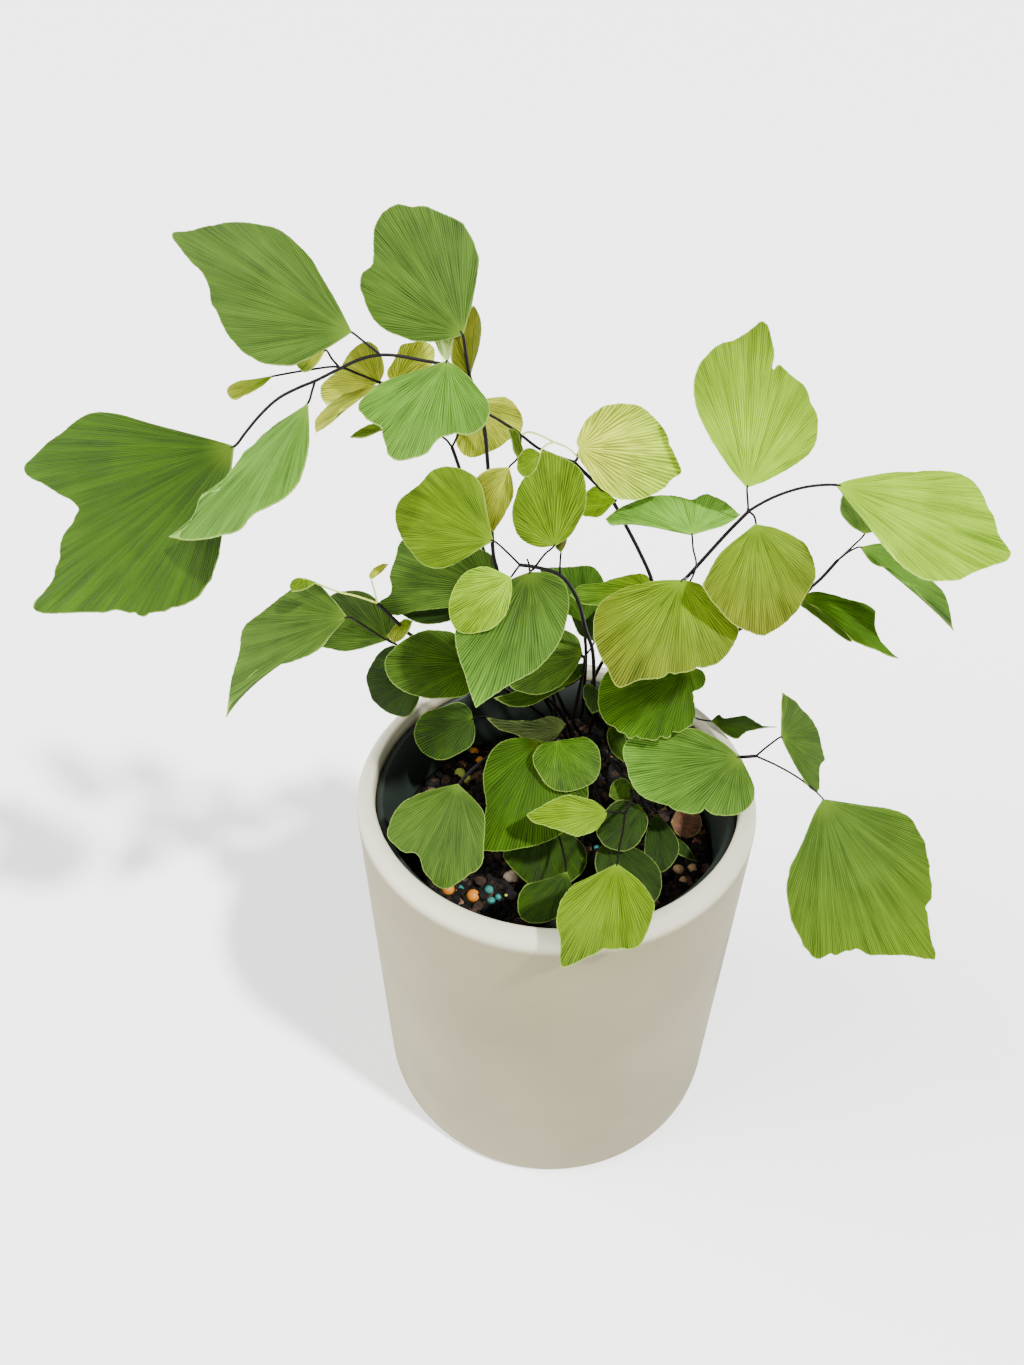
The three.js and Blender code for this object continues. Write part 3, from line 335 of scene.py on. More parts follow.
liner = dict(height=129, lipWidth=2.4, lipHeight=4, wall=1.2, footRadius=47, gap=0.3, sides=150,
    inset=0.5, footInset=1, wallRows=8, holes=6, holeRing=30, holeRadius=4, holeSides=24, drillLength=7.2,
    plastic="#1a241d", dark="#0d130f", cloudScale=35, grainScale=700, bump=(0.15, 0.0003), rough=0.5,
    roughDrift=0.15, gloss=0.4)

linerBase = pot["floor"] + liner["gap"]
linerTop = linerBase + liner["height"]
linerInner = pot["rimRadius"] - pot["wall"] - liner["gap"] - liner["lipWidth"]


def greenPlastic():
    g = Graph("greenPlastic")
    where = g.place()
    cloud = g.noise(where, liner["cloudScale"], 2)
    fine = g.noise(where, liner["grainScale"], 2)
    colour = g.blend(cloud, tint(liner["plastic"]), tint(liner["dark"]))
    return g.finish(Base_Color=colour, Roughness=liner["rough"] + fine * liner["roughDrift"],
        Normal=g.bump(fine, *liner["bump"]), Specular_IOR_Level=liner["gloss"])


def growPot():
    outer, inset, under = linerInner + liner["lipWidth"], liner["inset"], linerTop - liner["lipHeight"]
    foot, inner = (liner["footRadius"], linerBase), (linerInner, linerTop - inset)
    floorEdge = (liner["footRadius"] - liner["wall"], linerBase + liner["wall"])
    profile = [(0, linerBase), (foot[0] - liner["footInset"], foot[1]),
        (foot[0], foot[1] + liner["footInset"]), (linerInner + liner["wall"], under), (outer - inset, under),
        (outer, under + inset), (outer, linerTop - inset), (outer - inset, linerTop),
        (linerInner + inset, linerTop), inner,
        *stretch(inner, floorEdge, liner["wallRows"]), floorEdge, (0, floorEdge[1])]
    piece = turnedPiece("growPot", profile, liner["sides"], greenPlastic())
    drill = bpy.data.meshes.new("drill")
    cutter = bmesh.new()
    for i in range(liner["holes"]):
        angle = 2 * math.pi * i / liner["holes"]
        made = bmesh.ops.create_cone(cutter, cap_ends=True, segments=liner["holeSides"],
            radius1=liner["holeRadius"] * mm, radius2=liner["holeRadius"] * mm,
            depth=liner["drillLength"] * mm)
        shift = (liner["holeRing"] * math.cos(angle) * mm, liner["holeRing"] * math.sin(angle) * mm,
            linerBase * mm)
        bmesh.ops.translate(cutter, verts=made["verts"], vec=shift)
    cutter.to_mesh(drill)
    cutter.free()
    drillObject = addObject("drill", drill)
    cut = piece.modifiers.new("drainHoles", "BOOLEAN")
    cut.operation = "DIFFERENCE"
    cut.object = drillObject
    bakePiece(piece)
    bpy.data.objects.remove(drillObject)
    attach(piece, "root")
    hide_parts("grow_pot")


def bakePiece(piece):  # the evaluated shape becomes the plain mesh, and its modifiers go
    graph = bpy.context.evaluated_depsgraph_get()
    shape = bpy.data.meshes.new_from_object(piece.evaluated_get(graph), depsgraph=graph)
    piece.modifiers.clear()
    piece.data = shape


growPot()
print("grow pot made")


# potting mix: a bumpy dark bed of peat and bark, with beads of plant food

soil = dict(edgeHeight=111, crownAt=(11, 41), crownRise=14, crownSpread=15, broadBumps=1.1,
    fineBumps=0.8, broadPitch=(0.31, 0.27), broadStart=1.2, finePitch=(0.13, 0.41), evenRim=10, gap=0.3,
    rings=46, sides=150, crumbRise=0.7, crumbSize=6.5, crumbWaves=14, crumbEdge=2, seed=3, sightSteps=4,
    crumbCalm=5, clumpScale=260, clumpSpan=(0.35, 0.62), fibreScale=900, fibreSpan=(0.6, 0.8),
    fibreShare=0.5, fibreDepth=0.5, bump=(0.8, 0.0012), rough=0.85, gloss=0.1, peat="#0a0704",
    bark="#2a1c12", dust="#040302")

grains = dict(rings=14, sides=60, inset=2.2, lift=0.2, lean=0.6, turn=6.283, pickSeed=77, scale=800,
    bump=(0.6, 0.0004), gloss=0.2, dusty=0.6, dustSpan=(0.35, 0.7), darkest=0.7, shadeRange=0.6,
    shadeStep=17.3)

crumbs = dict(density=190000, small=0.0009, large=0.0026, seed=5, sides=6, rows=4, ragged=0.35,
    flat=0.7, rough=0.85, tones=(soil["peat"], soil["dust"], soil["bark"], soil["peat"]))

chips = dict(density=26000, small=0.7, large=1.5, seed=9, size=(0.0052, 0.0026, 0.0011),
    taper=0.75, bevel=0.25, rough=0.75, tones=("#3a2518", "#5d4430", "#241811", "#6b5138"))

beads = dict(colours=dict(orange="#b06c1c", cream="#a8b04c", teal="#256a60", stone="#b9a58c", tan="#a98a63"),
    loose=16, looseColours=3, seed=11, radius=1.0, sizes=(0.6, 1.3), squash=(0.85, 1.0), dent=0.05,
    dentPitch=(5200, 4300), reach=43, proud=0.75, fineness=3, rough=0.42, dusty=0.2,
    seen=[(448, 892, 2.2, "orange"), (473, 899, 2.2, "orange"), (460, 891, 1.4, "teal"),
        (489, 892, 1.5, "teal"), (491, 903, 1.4, "teal"), (498, 899, 1.1, "teal"),
        (511, 882, 2.6, "stone"), (474, 755, 2.0, "orange"), (480, 763, 1.6, "orange"),
        (460, 776, 2.0, "cream"), (466, 781, 1.8, "cream"), (478, 730, 1.2, "teal"),
        (471, 752, 1.2, "teal"), (678, 873, 2.0, "tan"), (683, 882, 1.3, "tan"), (692, 871, 1.7, "tan")])

strip = dict(at=(695, 838), size=(14, 3.4, 3), turn=84, tilt=0.3, ragged=0.16, seed=4, bevel=0.1,
    bevelRows=2, cuts=2, rough=0.6, colour="#7a4a3e")


def soilHeight(x, y):
    away = (x - soil["crownAt"][0]) ** 2 + (y - soil["crownAt"][1]) ** 2
    crown = np.exp(-away / (2 * soil["crownSpread"] ** 2))
    (broadX, broadY), (fineX, fineY) = soil["broadPitch"], soil["finePitch"]
    broad = soil["broadBumps"] * np.sin(x * broadX + soil["broadStart"]) * np.cos(y * broadY)
    fine = soil["fineBumps"] * np.sin(x * fineX - y * fineY)
    edge = np.clip((linerInner - np.hypot(x, y)) / soil["evenRim"], 0, 1)
    return soil["edgeHeight"] + (soil["crownRise"] * crown + broad + fine) * edge


def soilRadius(height):
    share = (height - linerBase - liner["wall"]) / (liner["height"] - liner["wall"])
    inner = liner["footRadius"] - liner["wall"]
    return inner + share * (linerInner - inner) - soil["gap"]


def bedSpot(px, py):  # where the bed is seen at that point of the frame
    ray = sightLines(px, py)
    spot = eye + ray * ((soil["edgeHeight"] - eye[2]) / ray[2])
    for _ in range(soil["sightSteps"]):
        spot = eye + ray * ((float(soilHeight(spot[0], spot[1])) - eye[2]) / ray[2])
    return spot


def pottingMix():
    g = Graph("pottingMix")
    where = g.place()
    clumps = g.noise(where, soil["clumpScale"], 4, 0.7)
    fibres = g.noise(where, soil["fibreScale"], 3, 0.7)
    colour = g.blend(clumps.ramp(*soil["clumpSpan"]), tint(soil["dust"]), tint(soil["peat"]))
    colour = g.blend(fibres.ramp(*soil["fibreSpan"]) * soil["fibreShare"], colour, tint(soil["bark"]))
    height = clumps + fibres * soil["fibreDepth"]
    return g.finish(Base_Color=colour, Roughness=soil["rough"], Normal=g.bump(height, *soil["bump"]),
        Specular_IOR_Level=soil["gloss"])


def strewnGrain(name, rough, dusty=grains["dusty"]):  # colour comes from each grain's own attribute
    g = Graph(name)
    where = g.place()
    tone = g.attribute("tone")
    fine = g.noise(where, grains["scale"], 3, 0.6)
    colour = g.blend(fine.ramp(*grains["dustSpan"]) * dusty, tone, tint(soil["dust"]))
    return g.finish(Base_Color=colour, Roughness=rough, Normal=g.bump(fine, *grains["bump"]),
        Specular_IOR_Level=grains["gloss"])


def soilBed():
    floor = linerBase + liner["wall"] + soil["gap"]
    edge = soilRadius(soil["edgeHeight"])
    profile = [(0, floor), (soilRadius(floor), floor)]
    profile += [(edge * i / soil["rings"], soil["edgeHeight"]) for i in range(soil["rings"], 0, -1)]
    profile += [(0, soil["edgeHeight"])]
    piece = turnedPiece("pottingMix", profile, soil["sides"], pottingMix())
    draw = np.random.default_rng(soil["seed"])
    waves = draw.normal(0, 1, (soil["crumbWaves"], 2)) / soil["crumbSize"] * 2 * math.pi
    starts = draw.uniform(0, 2 * math.pi, soil["crumbWaves"])
    for vertex in piece.data.vertices:
        if vertex.co.z > (floor + 1) * mm:
            x, y = vertex.co.x / mm, vertex.co.y / mm
            lift = np.sin(waves @ (x, y) + starts).sum() / soil["crumbCalm"] * soil["crumbRise"]
            fade = min(1, (edge - math.hypot(x, y)) / soil["crumbEdge"])
            vertex.co.z = (float(soilHeight(x, y)) + lift * fade) * mm
    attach(piece, "root")
    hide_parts("potting_mix")


def strewTree():  # grains of one shape strewn on a surface
    g = Group("strewGrains", dict(Grain="Object", Density="Float", Small="Float", Large="Float",
        Seed="Int", Material="Material"))
    given = g.given
    spots = g.node("GeometryNodeDistributePointsOnFaces", {"distribute_method": "RANDOM"},
        {"Mesh": given("Geometry"), "Density": given("Density"), "Seed": given("Seed")})
    size = g.node("FunctionNodeRandomValue", {"data_type": "FLOAT"},
        {2: given("Small"), 3: given("Large"), "Seed": given("Seed")}, out=1)
    lean = grains["lean"]
    turn = g.node("FunctionNodeRandomValue", {"data_type": "FLOAT_VECTOR"},
        {0: (-lean, -lean, 0.0), 1: (lean, lean, grains["turn"]), "Seed": given("Seed")})
    pick = g.node("FunctionNodeRandomValue", {"data_type": "FLOAT"},
        {2: 0.0, 3: 1.0, "Seed": grains["pickSeed"]}, out=1)
    grain = g.node("GeometryNodeObjectInfo", None, {"Object": given("Grain")}, out=4)
    laid = g.node("GeometryNodeInstanceOnPoints", None,
        {"Points": spots, "Instance": grain, "Rotation": turn, "Scale": size})
    marked = g.node("GeometryNodeStoreNamedAttribute", {"data_type": "FLOAT", "domain": "INSTANCE"},
        {"Geometry": laid, "Name": "pick", "Value": pick})
    real = g.node("GeometryNodeRealizeInstances", None, {"Geometry": marked})
    coated = g.node("GeometryNodeSetMaterial", None, {"Geometry": real, "Material": given("Material")})
    return g.finish(coated)


def setInputs(modifier, values):
    for item in modifier.node_group.interface.items_tree:
        if item.in_out == "INPUT" and item.name in values:
            modifier[item.identifier] = values[item.name]


def raggedGrain(name, radius, settings):  # a crumb with a few dozen faces
    shape = bmesh.new()
    bmesh.ops.create_uvsphere(shape, u_segments=settings["sides"], v_segments=settings["rows"], radius=radius)
    draw = np.random.default_rng(settings["seed"])
    for vertex in shape.verts:
        vertex.co *= 1 + settings["ragged"] * float(draw.uniform(-1, 1))
        vertex.co.z *= settings["flat"]
    return grainObject(name, shape)


def barkGrain(name, settings):  # a bevelled chip that narrows along one side
    size = settings["size"]
    shape = bmesh.new()
    bmesh.ops.create_cube(shape, size=1)
    for vertex in shape.verts:
        vertex.co.x *= size[0] * (settings["taper"] if vertex.co.y > 0 else 1)
        vertex.co.y *= size[1]
        vertex.co.z *= size[2]
    offset = size[2] * settings["bevel"]
    bmesh.ops.bevel(shape, geom=list(shape.edges), offset=offset, segments=1, affect="EDGES")
    return grainObject(name, shape)


def grainObject(name, shape):
    mesh = bpy.data.meshes.new(name)
    shape.to_mesh(mesh)
    shape.free()
    return addObject(name, mesh)


def bedTop():  # the open upper surface that grains are strewn on, in from the rim
    points, faces = [], []
    rings, sides = grains["rings"], grains["sides"]
    reach = soilRadius(soil["edgeHeight"]) - grains["inset"]
    for ring in range(1, rings + 1):
        for side in range(sides):
            angle = 2 * math.pi * side / sides
            x, y = reach * ring / rings * math.cos(angle), reach * ring / rings * math.sin(angle)
            points.append((x * mm, y * mm, (float(soilHeight(x, y)) + grains["lift"]) * mm))
    for ring in range(rings - 1):
        for side in range(sides):
            a, b = ring * sides + side, ring * sides + (side + 1) % sides
            faces.append((a, a + sides, b + sides, b))
    return newPiece("bedTop", points, faces, [])


def strew(name, tree, grain, material, settings):
    tones = settings["tones"]
    piece = bedTop()
    piece.name = name
    cover = piece.modifiers.new("strew", "NODES")
    cover.node_group = tree
    setInputs(cover, {"Grain": grain, "Density": float(settings["density"]), "Small": settings["small"],
        "Large": settings["large"], "Seed": settings["seed"], "Material": material})
    bakePiece(piece)
    bpy.data.objects.remove(grain)
    mesh = piece.data
    picks = np.zeros(len(mesh.vertices), dtype=np.float32)
    mesh.attributes["pick"].data.foreach_get("value", picks)
    shades = np.array([(*tint(tone), 1) for tone in tones])
    chosen = shades[np.minimum((picks * len(tones)).astype(int), len(tones) - 1)]
    shade = grains["darkest"] + grains["shadeRange"] * ((picks * grains["shadeStep"]) % 1)
    chosen[:, :3] *= shade[:, None]
    mesh.attributes.remove(mesh.attributes["pick"])
    store(mesh, "tone", "FLOAT_COLOR", chosen)
    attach(piece, "root")
    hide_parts("potting_mix")


def foodBeads():
    draw = np.random.default_rng(beads["seed"])
    spots = []
    for px, py, radius, colour in beads["seen"]:
        spots.append((*bedSpot(px, py)[:2], radius, colour))
    names = list(beads["colours"])
    while len(spots) < len(beads["seen"]) + beads["loose"]:
        reach, angle = beads["reach"] * math.sqrt(draw.uniform()), draw.uniform(0, 2 * math.pi)
        radius = beads["radius"] * draw.uniform(*beads["sizes"])
        colour = names[int(draw.integers(0, beads["looseColours"]))]
        spots.append((reach * math.cos(angle), reach * math.sin(angle), radius, colour))
    points, faces, tones = [], [], []
    pitchX, pitchY = beads["dentPitch"]
    for x, y, radius, colour in spots:
        ball = bmesh.new()
        bmesh.ops.create_icosphere(ball, subdivisions=beads["fineness"], radius=radius * mm)
        start = len(points)
        squash = draw.uniform(*beads["squash"])
        height = float(soilHeight(x, y)) + radius * beads["proud"]
        for vertex in ball.verts:
            dent = 1 + beads["dent"] * math.sin(vertex.co.x * pitchX + x) * math.cos(vertex.co.y * pitchY + y)
            points.append((x * mm + vertex.co.x * dent, y * mm + vertex.co.y * dent,
                height * mm + vertex.co.z * squash * dent))
        faces += [tuple(start + v.index for v in f.verts) for f in ball.faces]
        tones += [(*tint(beads["colours"][colour]), 1)] * len(ball.verts)
        ball.free()
    coat = strewnGrain("beadCoat", beads["rough"], beads["dusty"])
    piece = newPiece("foodBeads", points, faces, [coat])
    store(piece.data, "tone", "FLOAT_COLOR", tones)
    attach(piece, "root")
    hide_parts("potting_mix")


def barkStrip():  # a strip of maroon bark where it is seen
    shape = bmesh.new()
    bmesh.ops.create_cube(shape, size=1)
    bmesh.ops.bevel(shape, geom=list(shape.edges), offset=strip["bevel"], segments=strip["bevelRows"],
        affect="EDGES")
    bmesh.ops.subdivide_edges(shape, edges=list(shape.edges), cuts=strip["cuts"], use_grid_fill=True)
    draw = np.random.default_rng(strip["seed"])
    local = np.array([tuple(vertex.co) for vertex in shape.verts]) * strip["size"]
    local += draw.uniform(-1, 1, local.shape) * strip["ragged"]
    faces = [tuple(vertex.index for vertex in face.verts) for face in shape.faces]
    shape.free()
    x, y = bedSpot(*strip["at"])[:2]
    tilt, turn = strip["tilt"], math.radians(strip["turn"])
    side = local[:, 1] * math.cos(tilt) - local[:, 2] * math.sin(tilt)
    rise = local[:, 1] * math.sin(tilt) + local[:, 2] * math.cos(tilt)
    points = np.stack([x + local[:, 0] * math.cos(turn) - side * math.sin(turn),
        y + local[:, 0] * math.sin(turn) + side * math.cos(turn), rise + float(soilHeight(x, y))], axis=1)
    piece = newPiece("barkStrip", points * mm, faces, [strewnGrain("barkStripCoat", strip["rough"])])
    store(piece.data, "tone", "FLOAT_COLOR", [(*tint(strip["colour"]), 1)] * len(points))
    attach(piece, "root")
    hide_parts("potting_mix")


soilBed()
strewing = strewTree()
strew("peatCrumbs", strewing, raggedGrain("peatGrain", 1.0, crumbs),
    strewnGrain("peatCrumb", crumbs["rough"]), crumbs)
strew("barkChips", strewing, barkGrain("barkGrain", chips), strewnGrain("barkChip", chips["rough"]), chips)
foodBeads()
barkStrip()
print("potting mix strewn")


# fronds: black wiry stems and thin fan leaflets with forked veins

# the plant's few leaf hues, the greens all at one level, and its tones as a hue made deeper or paler; the two
# darkest tones are painted shade for leaflets that lie in shade, and the palest is painted light
leafHues = dict(fern="#82bc40", sea="#7cbc40", forest="#78bc0c", lime="#8cbc10", straw="#acbc30",
    grey="#9cbc70", brown="#5c4236")
leafTones = dict(deepShade=("forest", 0.035), shade=("sea", 0.04), deep=("forest", 0.06), glade=("forest", 0.11),
    leaf=("fern", 0.09), meadow=("fern", 0.11), grey=("grey", 0.13), moss=("lime", 0.08),
    lime=("lime", 0.17), brightLime=("lime", 0.2), gold=("straw", 0.13), olive=("lime", 0.2),
    straw=("straw", 0.4), paleLime=("lime", 0.42), cream=("straw", 0.55), sea=("sea", 0.2),
    paleSea=("sea", 0.34), pale=("grey", 1.3), brown=("brown", 0.7))

blade = dict(half=0.17, spacing=2.4, ring=2.3, fewestRings=4, corner=82, teeth=0.3, ragged=0.5,
    raggedSteps=14, toothFade=12, hump=0.035, humpSide=0.6, middleDroop=0.45, droop=2, wave=0.5, waves=2.5,
    flutter=0.4, flutterSteps=7, rimEase=5, tipEase=1.6, seat=0.035, fanStep=0.0015, seedStep=100,
    seedShift=7, veinGap=0.95, driftScale=110, blotchScale=75, firstFork=(0.28, 0.4), secondFork=(0.55, 0.7),
    margin=0.2, edge="#a9c060", under="#8fa362", underShare=0.28, dark=(0.14, 0.2, 0.1),
    light=(2.2, 2, 1.7), bump=(0.4, 0.0003), rough=0.5, roughDrift=0.18, gloss=0.05, heart="#8fb02a",
    heartReach=0.14, heartShare=0.25, heartTint=0.4, forkDrift=0.2, veinDrift=0.9, sectorSpan=(0.3, 0.7),
    blotchSpan=(0.4, 0.68), streakSpan=(0.38, 0.62), foldShadeShare=0.26, streakShare=0.3, veinShare=0.5,
    veinFade=0.12, blotchShare=0.1, marginEdges=(0.4, 1.6), marginShare=0.5, marginTint=0.65,
    streakDepth=0.8, sectorDepth=2, streakPitches=((0.6, 1.4), (1, 2), (1.5, 3)), sectorPitch=(0.13, 1.3))

stalk = dict(stipe=(0.7, 0.55), mid=(0.46, 0.37), fine=(0.35, 0.27), pale=(0.3, 0.22), sides=9, perSpan=6,
    rootDepth=9, footRise=3, footFade=5, dark="#0b0706", foot="#26150e", light="#a9b74a", bark="#1e1410",
    grainScale=700, grainSpan=(0.45, 0.8), grainShare=0.3, bump=(0.3, 0.0001), rough=0.42, roughDrift=0.2,
    gloss=0.1)

# stems are frame x, frame y and depth in mm behind the pot's axis; a leaflet has its base, the way its
# upper face looks (turn, lift) and its rim as frame x, frame y
fronds = {}

fronds["frond_tall"] = dict(foot=(7, 44), stipe=[565, 711, 40, 556, 691, 37, 536, 655, 34, 510, 605, 31,
    494, 558, 29, 492, 530, 28, 488, 468, 26, 484, 427, 23, 477, 400, 21, 470, 378, 19],
    stems=dict(
    upper=("mid", [471, 384, 19, 470, 377, 19, 466, 355, 18, 463, 336, 17]),
    rachis=("mid", [471, 382, 19, 462, 371, 18, 450, 366, 17, 437, 363, 16, 420, 360, 15, 399, 356, 14,
        381, 355, 13, 361, 359, 12, 339, 369, 11, 315, 381, 10, 298, 388, 9, 279, 398, 8, 263, 412, 7,
        246, 432, 6, 236, 445, 5]),
    highLeft=("fine", [382, 356, 13, 368, 345, 14, 353, 333, 15]),
    droopLeft=("fine", [315, 381, 10, 312, 391, 4, 308, 403, -3])),
    leaflets=dict(
    crest=dict(on="upper", base=(463, 335), depth=17, face=(-12, 34), droop=3, tone="meadow",
        rim=[449, 339, 437, 341.5, 425, 342, 412, 341, 401, 337, 390, 333, 382, 328, 375, 322, 370, 314,
            366, 306, 363, 297, 360, 289, 360, 280, 363, 272, 367, 269, 371, 266, 373, 258, 373, 248,
            373, 238, 374, 228, 378, 219, 382, 213, 389, 208, 396, 204.5, 404, 205, 410, 207, 418, 206.5,
            426, 206.5, 434, 210, 442, 213, 449, 216, 456, 219, 463, 223, 468, 231, 473, 239, 476, 248,
            479, 258, 478, 268, 476, 282, 474, 294, 472, 305, 468, 318]),
    behindCrest=dict(on="upper", seat=(470, 376, 19), base=(470, 376), depth=19.5, face=(42, 8), droop=1,
        tone="gold",
        rim=[473, 364, 479, 347, 481, 331, 479, 315, 474, 305, 466, 310, 458, 325, 452, 345, 452, 362]),
    highLeft=dict(on="highLeft", base=(352, 332), depth=15, face=(-18, 44), droop=4, tone="meadow",
        rim=[340, 308, 334, 297, 327, 285, 319, 272, 312, 260, 305, 252, 297, 244, 289, 236, 280, 230,
            272, 227, 262, 225, 250, 223, 239, 222.5, 226, 223, 214, 225.5, 203, 227, 195, 229.5, 188, 231,
            178, 231.5, 172, 233, 172, 238, 177, 245, 183, 253, 192, 263, 201, 271, 206, 279, 210, 289,
            211, 298, 212, 304, 216, 310, 220, 320, 224, 329, 228, 336, 234, 343, 242, 352, 250, 357,
            259, 362, 268, 364.5, 280, 365.5, 292, 365.5, 303, 361, 318, 353, 334, 344]),
    farLeft=dict(on="rachis", base=(234, 446), depth=5, face=(-24, 48), droop=4, wave=0.8, tone="deep",
        tip="glade",
        rim=[222, 445, 208, 443.5, 199, 441, 183, 435, 166, 429, 150, 423.5, 133, 418, 120, 414, 108, 412.5,
            99, 412, 91, 413.5, 83, 417, 72, 425, 62, 433, 50, 441, 40, 450, 30, 460, 25, 465, 24, 469,
            27, 475, 32, 479, 42, 483, 50, 488, 61, 495, 71, 500, 76, 505, 79, 510, 76, 515, 72, 524,
            66, 531, 62, 539, 60, 549, 60, 559, 56, 568, 54, 578, 48, 587, 41, 595, 35, 601, 33, 606,
            34, 610, 40, 613, 56, 614, 73, 613, 90, 612.5, 105, 612.5, 116, 610, 121, 610.5, 128, 613,
            136, 613, 138, 615, 144, 616.5, 149, 613.5, 157, 612, 166, 611, 171, 608, 181, 606, 190, 602,
            200, 595, 205, 587, 211, 579, 214, 569, 218, 558, 220, 546, 222, 534, 225, 510, 229, 480,
            232, 462]),
    droopLeft=dict(on="droopLeft", base=(308, 404), depth=-4, face=(-60, 53), droop=1.5, tone="sea",
        rim=[300, 409, 290, 416, 280, 422, 270, 430, 260, 438, 253, 446, 245, 452, 240, 460, 233, 469,
            227, 476, 222, 484, 220, 490, 212, 492, 203, 495, 200, 500, 197, 509, 193, 517, 188, 526,
            182, 531, 175, 534, 169, 537, 176, 538, 185, 540, 195, 540, 205, 539, 216, 537, 222, 535,
            230, 534, 238, 531, 244, 526, 250, 518, 256, 513, 265, 509, 275, 504, 285, 498, 293, 490,
            299, 481, 303, 470, 307, 455, 309, 442, 309, 425]),
    centreTop=dict(on="rachis", seat=(448, 366, 17), base=(447, 361), depth=15, face=(6, 58), droop=3,
        tone="sea",
        rim=[430, 367, 420, 370, 408, 374, 397, 377, 386, 381, 378, 386, 370, 392, 364, 397, 359, 403,
            358, 409, 362, 414, 366, 419, 371, 422, 377, 425, 381, 427, 382, 434, 384, 442, 386, 448,
            387, 454, 391, 458, 398, 461, 406, 460, 414, 458, 421, 456, 428, 452, 432, 447, 436, 441,
            442, 437, 450, 435, 457, 433, 463, 434.5, 470, 434.5, 478, 431, 484, 427, 488, 419, 490, 411,
            488, 402, 482, 393, 475, 384, 467, 375, 459, 368]),
    # its pale tone is painted light: the leaflet lies in shade between the others and is coloured as if lit
    funnel=dict(on="rachis", seat=(447, 365, 16.5), base=(446, 364), depth=17, face=(-10, 60), droop=1,
        tone="pale",
        rim=[441, 356, 436, 345, 432, 330, 446, 322, 456, 330, 452, 345, 450, 356])))
fronds["frond_fork"] = dict(foot=(4, 40), stipe=[556, 718, 40, 553, 696, 42, 533, 650, 44, 503, 595, 44,
    484, 551, 43, 472, 510, 39, 459, 467, 33, 452, 447, 30],
    stems=dict(
    leftArm=("fine", [452, 447, 30, 444, 438, 29, 418, 428, 28, 384, 429, 26]),
    rightArm=("fine", [452, 447, 30, 456, 439, 31, 463, 420, 33, 470, 404, 35])),
    leaflets=dict(
    sliver=dict(on="leftArm", base=(382, 430), depth=25, face=(0, 78), droop=0.5, wave=0, tone="moss",
        rim=[380, 426, 359, 430, 350, 437, 361, 438]),
    tan=dict(on="rightArm", base=(472, 402), depth=35, face=(8, 14), droop=1, tone="straw",
        rim=[489, 398, 510, 399, 519, 410, 523, 422, 520, 434, 510, 439, 498, 448, 486, 453, 475, 457,
            464, 455, 456, 440, 461, 420])))
